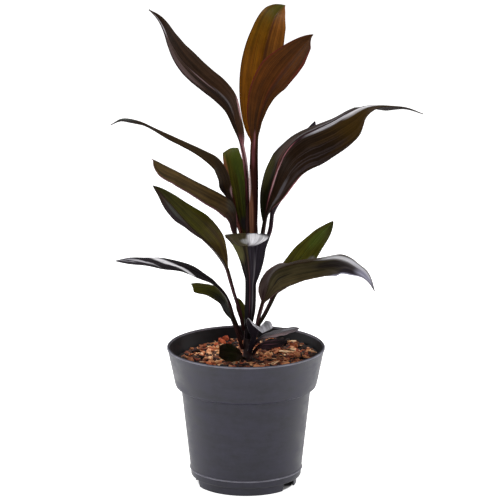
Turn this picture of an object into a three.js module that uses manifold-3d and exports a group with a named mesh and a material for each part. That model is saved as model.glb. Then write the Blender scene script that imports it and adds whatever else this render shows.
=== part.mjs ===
// A young cordyline in its black nursery pot, in millimetres with +Z up.
// The pot's axis is worked in as x = 0, y = 0 and its foot as z = 0. The whole group is shifted at the end
// so that the middle of the bounding box's underside is the origin.
import * as THREE from "three";
import { mergeVertices } from "three/addons/utils/BufferGeometryUtils.js";
import Module from "manifold-3d";

const wasm = await Module();
wasm.setup();

// Driving dimensions of the pot
const POT_HEIGHT = 152;
const RIM_RADIUS = 85;
const COLLAR_FOOT_RADIUS = 76.6;
const COLLAR_FOOT_HEIGHT = 112;
const BODY_TOP_RADIUS = 69.8;
const BODY_TOP_HEIGHT = 106.2;
const BODY_FOOT_RADIUS = 60.2;
const LINE_HEIGHT = 17.4;
const LEDGE_RADIUS = 59.4;
const LEDGE_HEIGHT = 9.8;
const FOOT_RADIUS = 54.4;
const WALL = 1.5;
const LIP_ROUNDING = 0.9;
const LIP_INSET = 0.4;
const LINE_RELIEF = 0.7;
const FLOOR_TOP = 11.4;
const POT_SIDES = 60;
const NOTCH_AZIMUTHS = [-31, 80, 190.5];
const NOTCH_ARC = 25;
const NOTCH_HEIGHT = 9.4;
const NOTCH_NARROWING = 0.82;
const DRAIN_RADIUS = 5;
const DRAIN_CIRCLE = 38;
const DRAIN_COUNT = 6;

// Driving dimensions of the potting mix
const MIX_LEVEL = 137;
const MIX_SLOPE_RIGHT = 0.055;
const MIX_SLOPE_BACK = 0.02;
const CHIP_RELIEF = 1.5;
const MIX_RINGS = 15;
const MIX_EDGE_SINK = 6;
const MIX_SLACK = 1;
const CLEARANCE = 0.35;

// Driving dimensions of the cane
const CANE_ROOT_HEIGHT = 86;
const CANE_ROOT_RADIUS = 5.9;
const CANE_TOP_RADIUS = 3.9;
const CANE_PATH = [[0.5, 0, CANE_ROOT_HEIGHT], [1, 0, 136], [3.6, 0, 190], [5.2, 0.3, 235], [6, 1, 266]];
const CANE_SIDES = 14;
const CANE_HOLE_RADIUS = CANE_ROOT_RADIUS + 1.2;
const SCAR_PITCH = 7;
const SCAR_RELIEF = 0.3;
const BLUNT_END = 0.7;

// Driving dimensions that all leaves share. CLASP_SHARES is where the petiole leaves the cane,
// TAPER_SHARES where the least width narrows from the stalk's to the tip's, RIB_FADE how much of its
// thickness the midrib loses towards the tip, and FULL_TILT_REACH is how far from the midrib the underside
// lies square to the blade.
const PETIOLE_HALF_WIDTH = 2.7;
const CLASP_CHANNEL = 26;
const PETIOLE_CHANNEL = 58;
const PETIOLE_THICKNESS = 2.4;
const BLADE_THICKNESS = 0.75;
const RIB_THICKNESS = 1.9;
const RIB_FADE = 0.55;
const PETIOLE_MARGIN = 1;
const TIP_HALF_WIDTH = 0.7;
const CLASP_SHARES = [0.03, 0.14];
const FOOT_TURN_SHARE = 0.16;
const OPENING_BEFORE = 0.06;
const OPENING_AFTER = 0.14;
const FULL_TILT_REACH = 3;
const FOOT_GAP = 0.2;
const STATIONS = 22;
const SMALL_STATIONS = 9;
const TIP_CROWDING = 1.35;
const TAPER_SHARES = [0.4, 0.9];
const EVEN = [[0, 1], [1, 1]];

// Each leaf starts on the cane at "node" (azimuth in degrees, height) and its midrib runs on through "path".
// heading: the azimuth that the leaf points to. halves: greatest half-widths, left and right of the midrib
// as seen from the leaf's foot. blade: share of the length at which the blade starts. widest: where the
// blade is widest, as a share of the blade. roll: turn about the midrib, fold: rise of each half at the
// midrib and arch: further turn of each half towards its margin, all in degrees and listed as
// [share of length, value].
// easeLeft, easeRight: how the half departs from the even outline, as [share of length, factor].
// stalk: half-widths of a stout petiole. trim: share of a blade that was left when its tip was cut off.
const LEAVES = [
  {
    name: "leaf_crown_back", colour: 0x6b3a12, node: [62, 256], heading: 68,
    path: [
      [9, 8, 290], [9.5, 10, 325], [9, 11, 366], [10.5, 17, 400], [15.5, 28, 450], [22.5, 42, 482],
      [30.5, 58, 501], [37, 72, 507], [42, 84, 508.5],
    ],
    halves: [21.5, 22], blade: 0.41, widest: 0.48, fullness: 1.25, stalk: [[0, 2.7], [0.08, 3.6], [1, 3.6]],
    easeLeft: [[0, 1], [0.7, 1], [0.82, 0.96], [0.92, 1.04], [1, 1]],
    easeRight: [[0, 0.5], [0.55, 0.5], [0.62, 0.7], [0.72, 0.97], [0.86, 0.94], [0.94, 0.7], [1, 0.3]],
    roll: [[0, 0], [0.4, 18], [1, 20]], fold: [[0, 8], [1, 8]], arch: [[0, -8], [1, -8]],
  },
  {
    name: "leaf_crown_front", colour: 0x3d2110, node: [322, 258], heading: 325,
    path: [
      [9.5, -7, 285], [9.3, -7.5, 325], [9.5, -8.5, 380], [14, -13, 410], [23, -18, 437], [36, -24, 458],
      [48, -30, 474], [60, -35, 489], [70, -40, 501],
    ],
    halves: [24, 25], blade: 0.44, widest: 0.55, fullness: 1.75,
    stalk: [[0, 2.7], [0.08, 6], [0.3, 5.6], [0.4, 4.2], [1, 4.2]],
    easeLeft: [
      [0, 0.4], [0.6, 0.5], [0.65, 0.66], [0.7, 1.04], [0.76, 1.08], [0.84, 1.15], [0.93, 1.05],
      [1, 0.1],
    ],
    easeRight: [[0, 0.8], [0.62, 0.78], [0.7, 0.86], [0.78, 0.98], [1, 1]],
    roll: [[0, 0], [0.42, -28], [1, -28]], fold: [[0, 10], [0.4, 17], [1, 14]],
    arch: [[0, -6], [1, -6]],
  },
  {
    name: "leaf_upper_left", colour: 0x2c1a1c, node: [200, 263], heading: 182,
    path: [
      [2, -2, 303], [0, -2, 347], [-4, -2, 371], [-11, -2, 396], [-19, -3, 418], [-30, -4, 431],
      [-43, -4, 442], [-56, -4, 454], [-70, -4, 470], [-79, -2, 485], [-87, 0, 502], [-94, 2, 512],
      [-102, 4, 519],
    ],
    halves: [24, 25], blade: 0.36, widest: 0.5, fullness: 1.75,
    stalk: [[0, 2.7], [0.06, 3.6], [0.36, 3.6], [1, 2.7]],
    easeLeft: [
      [0, 0.9], [0.45, 0.9], [0.52, 0.84], [0.6, 0.86], [0.7, 0.98], [0.75, 1], [0.86, 0.75],
      [0.94, 0.35], [1, 0.3],
    ],
    easeRight: [[0, 1], [0.85, 1], [0.95, 0.8], [1, 0.5]],
    roll: [[0, 0], [0.4, -23], [1, -23]], fold: [[0, 8], [0.4, 11], [1, 9]], arch: [[0, -4], [1, -4]],
  },
  {
    name: "leaf_left_long", colour: 0x3a2a1c, node: [150, 250], heading: 188,
    path: [
      [-6.5, 7, 281], [-11, 6, 298], [-14, 5.5, 314], [-15.5, 5, 329], [-19.5, 3.5, 344], [-29, 0.5, 359],
      [-45, -5, 369.5], [-70, -11, 382.5], [-93, -15, 394], [-113, -19, 404], [-131, -22, 407],
      [-143, -25, 401],
    ],
    halves: [20, 19], blade: 0.22, widest: 0.36, fullness: 1.7,
    easeLeft: [
      [0, 1.2], [0.3, 1.15], [0.4, 1.12], [0.5, 1.18], [0.58, 1.05], [0.68, 0.92], [0.85, 1.1],
      [0.92, 2], [1, 2.2],
    ],
    easeRight: [[0, 1.1], [0.3, 1.1], [0.37, 1.5], [0.44, 1.6], [0.52, 1.35], [0.6, 1.1], [1, 1]],
    roll: [[0, 0], [0.33, -21], [0.55, 2], [0.8, 4], [1, 4]],
    fold: [[0, -25], [0.35, -25], [0.55, -16], [0.8, -8], [1, -8]],
    arch: [[0, -6], [1, -6]],
  },
  {
    name: "leaf_left_mid", colour: 0x3a2418, node: [206, 240], heading: 208,
    path: [
      [-5, -7, 260], [-9, -10, 278], [-9, -13, 298], [-13, -17, 314], [-23, -23, 323.5], [-38, -29, 333],
      [-53, -36, 342.5], [-68, -43, 352.5], [-83, -50, 362], [-92, -55, 368], [-97, -58, 371],
    ],
    halves: [22, 20], blade: 0.15, widest: 0.56, fullness: 0.85,
    easeLeft: [
      [0, 0.8], [0.3, 0.8], [0.38, 1.05], [0.45, 1.1], [0.55, 0.96], [0.65, 0.85], [0.85, 0.86],
      [0.95, 1.2], [1, 1.2],
    ],
    easeRight: [[0, 0.7], [0.35, 0.65], [0.5, 0.55], [0.8, 0.72], [0.92, 1], [1, 1]],
    roll: [[0, 0], [0.3, -40], [0.45, -31], [1, -26]], fold: [[0, -20], [0.4, -28], [1, -24]],
    arch: [[0, -6], [1, -6]],
  },
  {
    name: "leaf_left_green", colour: 0x3c3a12, node: [208, 171], heading: 210,
    path: [
      [-7, -14, 197], [-12, -19, 215], [-16, -23, 230], [-21, -28, 247], [-30, -34, 262],
      [-39, -40, 274], [-49, -45, 285], [-59, -50, 297], [-69, -55, 310], [-80, -60, 325],
      [-89, -64, 337], [-97, -67, 345],
    ],
    halves: [20, 21], blade: 0.38, widest: 0.46, fullness: 1.45,
    easeLeft: [[0, 1], [0.5, 0.9], [0.64, 0.63], [0.74, 0.69], [0.82, 1], [0.92, 1.2], [1, 1]],
    easeRight: [[0, 1], [0.42, 1.15], [0.5, 1.3], [0.6, 1.25], [0.7, 1.05], [0.9, 0.75], [1, 0.6]],
    roll: [[0, 0], [0.35, -38], [0.62, -41], [0.8, -56], [1, -58]],
    fold: [[0, 20], [0.4, 33], [0.64, 33], [0.8, 17], [1, 12]],
    arch: [[0, -6], [1, -6]],
  },
  {
    name: "leaf_left_low", colour: 0x17151c, node: [158, 158], heading: 184,
    path: [
      [-13, 3, 181], [-18, 3, 197], [-24, 2, 209], [-34, 0, 221], [-49, -2, 232], [-68, -4, 241],
      [-92, -7, 246], [-115, -10, 249], [-139, -13, 250],
    ],
    halves: [16, 14.5], blade: 0.34, widest: 0.5, fullness: 1.5,
    stalk: [[0, 2.7], [0.06, 3.9], [0.3, 3.9], [1, 2.7]],
    roll: [[0, 0], [0.4, -8], [1, -6]], fold: [[0, 3], [1, 3]], arch: [[0, -4], [1, -4]],
  },
  {
    name: "leaf_left_cut", colour: 0x24271c, node: [205, 150], heading: 194,
    path: [
      [-11, -13, 177], [-17, -17, 193], [-22, -20, 208], [-31, -23, 219], [-44, -27, 225],
      [-57, -31, 227],
    ],
    halves: [14.5, 12.5], blade: 0.36, widest: 0.45, fullness: 1.4, trim: 0.82,
    stalk: [[0, 2.7], [0.06, 3.9], [1, 3.9]],
    easeRight: [[0, 1], [0.55, 1], [0.75, 0.8], [1, 0.75]],
    roll: [[0, 0], [0.4, -24], [1, -20]], fold: [[0, -5], [1, -5]], arch: [[0, -8], [1, -8]],
  },
  {
    name: "leaf_small_back", colour: 0x34401a, node: [120, 164], heading: 130,
    path: [[-3, 11, 180], [-5.5, 15, 190], [-9, 20, 200]],
    halves: [5.5, 5.5], blade: 0.3, widest: 0.5, fullness: 1.5, small: true,
    roll: [[0, 0], [1, -20]], fold: [[0, 10], [1, 10]], arch: [[0, -6], [1, -6]],
  },
  {
    name: "leaf_back", colour: 0x3a4a16, node: [104, 240], heading: 106,
    path: [
      [-1, 13.5, 279], [-4, 18.5, 299], [-7, 24.5, 320], [-11, 31, 339], [-14, 38, 352], [-16, 49, 359],
      [-17, 63, 354], [-17, 80, 342],
    ],
    halves: [14.5, 14], blade: 0.14, widest: 0.5, fullness: 1.3,
    easeLeft: [[0, 1], [0.5, 0.95], [0.62, 0.85], [1, 0.8]],
    easeRight: [[0, 1], [0.5, 0.95], [0.62, 0.8], [0.75, 0.7], [1, 0.7]],
    roll: [[0, 0], [0.3, -12], [1, -12]], fold: [[0, 8], [0.45, 2], [0.65, -14], [1, -14]],
    arch: [[0, -6], [1, -6]],
  },
  {
    name: "leaf_right_large", colour: 0x241c1c, node: [336, 234], heading: 352,
    path: [
      [17.5, -2, 275], [21.5, 0, 297], [27, 1, 321], [33, 1, 344], [39.5, 0.5, 361], [48.5, 0, 374],
      [60, -0.5, 384], [74, -1, 391], [90, -3, 399], [107, -6, 409.5], [124, -8, 417.5],
      [138, -11, 419.5], [153, -14, 419.5], [170, -17, 418], [187, -20, 412],
    ],
    halves: [29, 37], blade: 0.18, widest: 0.46, fullness: 1.5, stalk: [[0, 2.7], [0.06, 3.6], [1, 3.6]],
    easeLeft: [
      [0, 1], [0.3, 1], [0.41, 1.18], [0.46, 0.92], [0.52, 0.82], [0.6, 0.92], [0.88, 0.8], [1, 0.55],
    ],
    easeRight: [
      [0, 1.05], [0.4, 1.08], [0.6, 1.06], [0.72, 1], [0.79, 0.7], [0.85, 0.2], [1, 0.05],
    ],
    roll: [[0, 0], [0.29, 39], [0.38, 36], [0.5, 33], [0.74, 24], [0.86, -12], [1, -15]],
    fold: [[0, 14], [0.25, 14], [0.4, -8], [0.55, -26], [0.8, -24], [1, -10]],
    arch: [[0, -6], [1, -6]],
  },
  {
    name: "leaf_right_behind", colour: 0x241c22, node: [48, 248], heading: 42,
    path: [[25, 16, 272], [30, 22, 303], [42, 30, 328], [57, 40, 353], [67, 48, 371], [74, 56, 387]],
    halves: [13.5, 13.5], blade: 0.3, widest: 0.5, fullness: 1.5,
    roll: [[0, 0], [1, 10]], fold: [[0, 8], [1, 8]], arch: [[0, -6], [1, -6]],
  },
  {
    name: "leaf_front", colour: 0x2c2a20, node: [264, 162], heading: 268,
    path: [
      [4, -9, 190], [5, -12, 217], [4, -17, 246], [2, -25, 266], [1, -40, 284], [1, -60, 292],
      [2, -85, 293], [2, -106, 290],
    ],
    halves: [24.5, 24.5], blade: 0.27, widest: 0.6, fullness: 1.4,
    stalk: [[0, 2.7], [0.07, 3.2], [0.16, 5.8], [1, 5.8]],
    easeRight: [[0, 0.65], [0.45, 0.65], [0.56, 0.75], [0.64, 0.95], [1, 1]],
    roll: [[0, 0], [1, 0]], fold: [[0, 20], [0.5, 24], [0.64, 2], [1, -4]], arch: [[0, -8], [1, -8]],
  },
  {
    name: "leaf_right_green", colour: 0x343c18, node: [34, 166], heading: 30,
    path: [
      [17, 7, 179], [25, 11, 193], [32, 15, 207], [42, 20, 221], [53, 26, 235], [65, 33, 250],
      [78, 40, 264], [86, 45, 271], [94, 50, 278],
    ],
    halves: [11, 17.5], blade: 0.32, widest: 0.5, fullness: 1.5,
    easeLeft: [[0, 1.45], [0.55, 1.45], [0.72, 1.15], [0.88, 1], [1, 1]],
    roll: [[0, 0], [0.4, 22], [1, 22]], fold: [[0, 6], [1, 6]], arch: [[0, -6], [1, -6]],
  },
  {
    name: "leaf_right_arch", colour: 0x33271c, node: [334, 156], heading: 335,
    path: [
      [12.5, -12, 184], [17.5, -15, 202], [22, -18, 219], [25.5, -21, 233], [32, -25, 242.5],
      [47, -32, 250.5], [65, -38, 255.5], [80, -44, 260], [96, -50, 264], [107, -54, 262],
      [116, -58, 257], [126, -62, 250], [132, -65, 241], [136, -68, 231],
    ],
    halves: [20, 26.5], blade: 0.24, widest: 0.34, fullness: 1.3,
    easeLeft: [
      [0, 1], [0.24, 1], [0.29, 1.25], [0.34, 1.7], [0.38, 1.6], [0.42, 1.15], [0.46, 0.6],
      [0.55, 0.7], [0.7, 1], [1, 1],
    ],
    easeRight: [
      [0, 1], [0.24, 0.6], [0.3, 0.7], [0.36, 0.95], [0.57, 0.8], [0.68, 0.93], [0.78, 1.25],
      [0.86, 0.95], [0.94, 0.6], [1, 0.5],
    ],
    roll: [[0, 0], [0.24, 62], [0.4, 38], [0.6, 28], [1, 10]],
    fold: [[0, -8], [0.22, -13], [0.45, -28], [1, -20]], arch: [[0, -6], [1, -6]],
  },
  {
    name: "leaf_low_cup", colour: 0x3c3a40, node: [298, 148], heading: 292,
    path: [[9.5, -13, 166], [12, -19, 174.5], [14, -26, 180], [16, -33.5, 180.5], [17.5, -39, 177.5]],
    halves: [12.5, 17.5], blade: 0.3, widest: 0.7, fullness: 1.1, trim: 0.75, small: true,
    roll: [[0, 0], [1, -4]], fold: [[0, 26], [1, 32]], arch: [[0, 14], [1, 14]],
  },
  {
    name: "leaf_low_right_back", colour: 0x2c2630, node: [12, 152], heading: 6,
    path: [[17, 1, 161], [31, 1, 165], [44, 2, 168], [57, 3, 171]],
    halves: [7.5, 7.5], blade: 0.2, widest: 0.5, fullness: 1.2, small: true,
    roll: [[0, 0], [0.3, 12], [1, 16]], fold: [[0, 6], [1, 6]], arch: [[0, -6], [1, -6]],
  },
  {
    name: "leaf_low_right_front", colour: 0x18161a, node: [350, 143], heading: 338,
    path: [[11.5, -4, 151], [19, -8.5, 158], [28, -15, 161], [37, -21, 163], [44, -25, 164]],
    halves: [9, 11], blade: 0.2, widest: 0.5, fullness: 1.2, small: true,
    roll: [[0, 0], [0.3, 16], [1, 22]], fold: [[0, -8], [1, -8]], arch: [[0, -6], [1, -6]],
  },
  {
    name: "leaf_low_left_stub", colour: 0x141210, node: [236, 140], heading: 212,
    path: [[-6, -12, 146], [-15, -16, 149.5], [-28.5, -19, 151]],
    halves: [10.5, 11], blade: 0.2, widest: 0.5, fullness: 0.95, trim: 0.93, small: true,
    roll: [[0, 0], [0.3, -46], [1, -66]], fold: [[0, -6], [1, -6]], arch: [[0, -16], [1, -16]],
  },
];

const toRadians = THREE.MathUtils.degToRad;

// A closed geometry as a solid that can be cut and joined.
function solidOf(geometry) {
  const bare = geometry.clone();
  bare.deleteAttribute("normal");
  bare.deleteAttribute("uv");
  const merged = mergeVertices(bare, 1e-3);
  return new wasm.Manifold(
    new wasm.Mesh({
      numProp: 3,
      vertProperties: merged.attributes.position.array,
      triVerts: new Uint32Array(merged.index.array),
    }),
  );
}

function geometryOf(solid) {
  const mesh = solid.getMesh();
  const geometry = new THREE.BufferGeometry();
  geometry.setAttribute("position", new THREE.BufferAttribute(mesh.vertProperties, 3));
  geometry.setIndex(new THREE.BufferAttribute(mesh.triVerts, 1));
  return geometry;
}

function namedMesh(name, geometry, colour, roughness) {
  const faceted = geometry.index ? geometry.toNonIndexed() : geometry;
  faceted.computeVertexNormals();
  const material = new THREE.MeshStandardMaterial({ color: colour, roughness, metalness: 0 });
  const mesh = new THREE.Mesh(faceted, material);
  mesh.name = name;
  return mesh;
}

// A value listed as [share, value] pairs, read at a share between 0 and 1.
function along(list, share) {
  const next = Math.max(1, list.findIndex((pair) => pair[0] >= share));
  const [from, to] = [list[next - 1], list[next]];
  return THREE.MathUtils.mapLinear(share, from[0], to[0], from[1], to[1]);
}

// The pot: one injection-moulded shell with a tapered collar, a thin raised line low on the body
// and a foot ring set in under the ledge
function potProfile() {
  const outside = [
    [FOOT_RADIUS, 0],
    [FOOT_RADIUS + 0.4, LEDGE_HEIGHT - 0.4],
    [LEDGE_RADIUS - 0.4, LEDGE_HEIGHT],
    [LEDGE_RADIUS, LEDGE_HEIGHT + 0.5],
    [BODY_FOOT_RADIUS - 0.3, LINE_HEIGHT - LINE_RELIEF],
    [BODY_FOOT_RADIUS + LINE_RELIEF, LINE_HEIGHT - LINE_RELIEF * 0.6],
    [BODY_FOOT_RADIUS + LINE_RELIEF, LINE_HEIGHT + LINE_RELIEF * 0.4],
    [BODY_FOOT_RADIUS, LINE_HEIGHT + LINE_RELIEF],
    [BODY_TOP_RADIUS, BODY_TOP_HEIGHT],
    [COLLAR_FOOT_RADIUS - 1, COLLAR_FOOT_HEIGHT - 2.6],
    [COLLAR_FOOT_RADIUS, COLLAR_FOOT_HEIGHT],
    [RIM_RADIUS - LIP_ROUNDING, POT_HEIGHT - 3.4],
    [RIM_RADIUS, POT_HEIGHT - 2.4],
    [RIM_RADIUS, POT_HEIGHT - LIP_ROUNDING],
    [RIM_RADIUS - LIP_ROUNDING, POT_HEIGHT],
  ];
  const inside = [
    [RIM_RADIUS - LIP_ROUNDING - WALL, POT_HEIGHT],
    [RIM_RADIUS - LIP_ROUNDING - LIP_INSET - WALL, POT_HEIGHT - 3],
    [COLLAR_FOOT_RADIUS - WALL, COLLAR_FOOT_HEIGHT + 0.6],
    [BODY_TOP_RADIUS - WALL, BODY_TOP_HEIGHT + 0.4],
    [BODY_FOOT_RADIUS - WALL, LINE_HEIGHT],
    [LEDGE_RADIUS - WALL - 1, FLOOR_TOP],
    [0, FLOOR_TOP],
  ];
  const underside = [
    [0, FLOOR_TOP - WALL],
    [FOOT_RADIUS - WALL, FLOOR_TOP - WALL],
    [FOOT_RADIUS - WALL - 0.2, 0],
  ];
  return [...underside, ...outside, ...inside].map(([radius, height]) => new THREE.Vector2(radius, height));
}

// A wedge that cuts one notch through the foot ring, narrower at its top.
function notchCutter(azimuth) {
  const half = Math.tan(toRadians(NOTCH_ARC / 2)) * FOOT_RADIUS;
  const outline = new THREE.Shape([
    new THREE.Vector2(-half, -1),
    new THREE.Vector2(half, -1),
    new THREE.Vector2(half * NOTCH_NARROWING, NOTCH_HEIGHT),
    new THREE.Vector2(-half * NOTCH_NARROWING, NOTCH_HEIGHT),
  ]);
  const depth = 8 * WALL;
  const cutter = new THREE.ExtrudeGeometry(outline, { depth, bevelEnabled: false });
  cutter.rotateX(Math.PI / 2);
  cutter.translate(0, FOOT_RADIUS + depth / 2, 0);
  cutter.rotateZ(toRadians(azimuth - 90));
  return solidOf(cutter);
}

function drainCutter(radius, azimuth) {
  const cutter = new THREE.CylinderGeometry(DRAIN_RADIUS, DRAIN_RADIUS, WALL * 3, 14);
  cutter.rotateX(Math.PI / 2);
  const angle = toRadians(azimuth);
  cutter.translate(radius * Math.cos(angle), radius * Math.sin(angle), FLOOR_TOP - WALL / 2);
  return solidOf(cutter);
}

function nurseryPot() {
  const shell = new THREE.LatheGeometry(potProfile(), POT_SIDES);
  shell.rotateX(Math.PI / 2);
  let pot = solidOf(shell);
  for (const azimuth of NOTCH_AZIMUTHS) {
    pot = pot.subtract(notchCutter(azimuth));
  }
  pot = pot.subtract(drainCutter(0, 0));
  for (let i = 0; i < DRAIN_COUNT; i++) {
    pot = pot.subtract(drainCutter(DRAIN_CIRCLE, (i * 360) / DRAIN_COUNT));
  }
  return namedMesh("nursery_pot", geometryOf(pot), 0x3f3f45, 0.55);
}

// The inner radius of the pot at a height, for what lies against it.
function potInside(height) {
  if (height > BODY_TOP_HEIGHT) {
    const share = (height - COLLAR_FOOT_HEIGHT) / (POT_HEIGHT - COLLAR_FOOT_HEIGHT);
    const top = RIM_RADIUS - LIP_ROUNDING - LIP_INSET;
    return THREE.MathUtils.lerp(COLLAR_FOOT_RADIUS, top, Math.max(0, share)) - WALL;
  }
  const share = (height - LINE_HEIGHT) / (BODY_TOP_HEIGHT - LINE_HEIGHT);
  return THREE.MathUtils.lerp(BODY_FOOT_RADIUS, BODY_TOP_RADIUS, share) - WALL;
}

// The height of the mix at a place: a tilted level with bark chips as relief.
function mixHeight(x, y) {
  const level = MIX_LEVEL + MIX_SLOPE_RIGHT * x + MIX_SLOPE_BACK * y;
  const coarse = Math.sin(x * 0.31 + Math.sin(y * 0.23) * 2) * Math.cos(y * 0.37 + Math.sin(x * 0.19) * 2);
  const fine = Math.sin(x * 0.83 - y * 0.41) * Math.sin(y * 0.77 + x * 0.29);
  return level + CHIP_RELIEF * (0.7 * coarse + 0.5 * fine);
}

// The mix: one body that fills the pot, chips of bark and coir on top
function pottingMix() {
  const rows = [];
  for (let ring = 1; ring <= MIX_RINGS; ring++) {
    rows.push({ share: ring / MIX_RINGS, height: null });
  }
  rows.push({ share: 1, height: COLLAR_FOOT_HEIGHT + 1.2 });
  rows.push({ share: 1, height: BODY_TOP_HEIGHT - 0.8 });
  rows.push({ share: 1, height: LINE_HEIGHT });
  const edge = potInside(MIX_LEVEL - MIX_EDGE_SINK) - CLEARANCE;
  const positions = [0, 0, mixHeight(0, 0), 0, 0, LINE_HEIGHT];
  for (const row of rows) {
    const radius = row.height === null ? edge * row.share : potInside(row.height) - CLEARANCE - MIX_SLACK;
    for (let side = 0; side < POT_SIDES; side++) {
      const angle = (side / POT_SIDES) * Math.PI * 2;
      const [x, y] = [radius * Math.cos(angle), radius * Math.sin(angle)];
      positions.push(x, y, row.height === null ? mixHeight(x, y) : row.height);
    }
  }
  const faces = [];
  for (let side = 0; side < POT_SIDES; side++) {
    const next = (side + 1) % POT_SIDES;
    faces.push(0, 2 + side, 2 + next);
    rows.slice(1).forEach((_, row) => {
      const [upper, lower] = [2 + row * POT_SIDES, 2 + (row + 1) * POT_SIDES];
      faces.push(upper + side, lower + side, lower + next, upper + side, lower + next, upper + next);
    });
    const last = 2 + (rows.length - 1) * POT_SIDES;
    faces.push(1, last + next, last + side);
  }
  const body = new THREE.BufferGeometry();
  body.setAttribute("position", new THREE.Float32BufferAttribute(positions, 3));
  body.setIndex(faces);
  const hole = new THREE.CylinderGeometry(CANE_HOLE_RADIUS, CANE_HOLE_RADIUS, MIX_LEVEL, 20);
  hole.rotateX(Math.PI / 2);
  hole.translate(CANE_PATH[0][0] + 0.3, 0, CANE_ROOT_HEIGHT - CLEARANCE + MIX_LEVEL / 2);
  return namedMesh("potting_mix", geometryOf(solidOf(body).subtract(solidOf(hole))), 0x6e4228, 0.95);
}

// The cane: an upright stem with ring scars where old leaves came off
const canePoints = CANE_PATH.map((point) => new THREE.Vector3(...point));
const caneCurve = new THREE.CatmullRomCurve3(canePoints, false, "centripetal");

function caneAt(height) {
  const top = CANE_PATH[CANE_PATH.length - 1][2];
  const share = (height - CANE_ROOT_HEIGHT) / (top - CANE_ROOT_HEIGHT);
  const centre = caneCurve.getPointAt(THREE.MathUtils.clamp(share, 0, 1));
  const radius = THREE.MathUtils.lerp(CANE_ROOT_RADIUS, CANE_TOP_RADIUS, share);
  return { centre, radius };
}

function cane() {
  const height = CANE_PATH[CANE_PATH.length - 1][2] - CANE_ROOT_HEIGHT;
  const steps = 2 * Math.round(height / SCAR_PITCH);
  const rings = [];
  for (let step = 0; step <= steps; step++) {
    const { centre, radius } = caneAt(CANE_ROOT_HEIGHT + (height * step) / steps);
    const scar = step % 2 === 0 ? SCAR_RELIEF : 0;
    const blunt = step === steps || step === 0 ? BLUNT_END : 1;
    rings.push(ringPoints(centre, (radius + scar - SCAR_RELIEF) * blunt, CANE_SIDES));
  }
  return namedMesh("cane", closedLoft(rings), 0x5a4636, 0.8);
}

function ringPoints(centre, radius, sides) {
  return Array.from({ length: sides }, (_, side) => {
    const angle = (side / sides) * Math.PI * 2;
    const spoke = new THREE.Vector3(radius * Math.cos(angle), radius * Math.sin(angle), 0);
    return spoke.add(centre);
  });
}

// A closed body through rings of points that run anticlockwise as seen from the last ring. The second half
// of each ring is split along the mirrored diagonal, so that a blade's two faces are split alike.
function closedLoft(rings) {
  const count = rings[0].length;
  const positions = rings.flat().flatMap((point) => point.toArray());
  const faces = [];
  for (let ring = 0; ring < rings.length - 1; ring++) {
    for (let side = 0; side < count; side++) {
      const next = (side + 1) % count;
      const [lower, upper] = [ring * count, (ring + 1) * count];
      if (side < count / 2) {
        faces.push(lower + side, lower + next, upper + next, lower + side, upper + next, upper + side);
      } else {
        faces.push(lower + side, lower + next, upper + side, lower + next, upper + next, upper + side);
      }
    }
  }
  const last = (rings.length - 1) * count;
  for (let side = 0; side < count / 2 - 1; side++) {
    const opposite = count - 1 - side;
    faces.push(opposite, side + 1, side, opposite, opposite - 1, side + 1);
    faces.push(last + side, last + side + 1, last + opposite);
    faces.push(last + side + 1, last + opposite - 1, last + opposite);
  }
  const geometry = new THREE.BufferGeometry();
  geometry.setAttribute("position", new THREE.Float32BufferAttribute(positions, 3));
  geometry.setIndex(faces);
  return geometry;
}

// A leaf: a channelled petiole that opens into a folded and arched blade, lofted as one piece
function midrib(leaf) {
  const [azimuth, height] = leaf.node;
  const { centre, radius } = caneAt(height);
  const angle = toRadians(azimuth);
  const reach = radius + CLEARANCE + FOOT_GAP;
  const foot = new THREE.Vector3(reach * Math.cos(angle), reach * Math.sin(angle), 0).add(centre);
  const points = [foot, ...leaf.path.map((point) => new THREE.Vector3(...point))];
  return new THREE.CatmullRomCurve3(points, false, "centripetal");
}

// How far the channelled petiole has opened into a blade at a share of the leaf's length.
function opening(leaf, share) {
  return THREE.MathUtils.smoothstep(share, leaf.blade - OPENING_BEFORE, leaf.blade + OPENING_AFTER);
}

// How wide the blade is there, as a share of its greatest width.
function bladeWidth(leaf, share) {
  const bladeShare = THREE.MathUtils.clamp((share - leaf.blade) / (1 - leaf.blade), 0, 1) * (leaf.trim ?? 1);
  const rise = Math.pow(bladeShare / leaf.widest, leaf.fullness * leaf.widest);
  const fall = Math.pow((1 - bladeShare) / (1 - leaf.widest), leaf.fullness * (1 - leaf.widest));
  return rise * fall;
}

// The midrib's place there, with the directions to the leaf's left and out of its upper face.
function leafFrame(curve, leaf, share) {
  const turned = THREE.MathUtils.smoothstep(share, 0, FOOT_TURN_SHARE);
  const heading = toRadians(THREE.MathUtils.lerp(leaf.node[0], leaf.heading, turned));
  const forward = curve.getTangentAt(share);
  const side = new THREE.Vector3(-Math.sin(heading), Math.cos(heading), 0);
  const up = new THREE.Vector3().crossVectors(forward, side).normalize();
  side.crossVectors(up, forward).normalize();
  const roll = toRadians(along(leaf.roll, share));
  const left = side.clone().multiplyScalar(Math.cos(roll)).addScaledVector(up, Math.sin(roll));
  const face = up.clone().multiplyScalar(Math.cos(roll)).addScaledVector(side, -Math.sin(roll));
  return { centre: curve.getPointAt(share), left, face };
}

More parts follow.
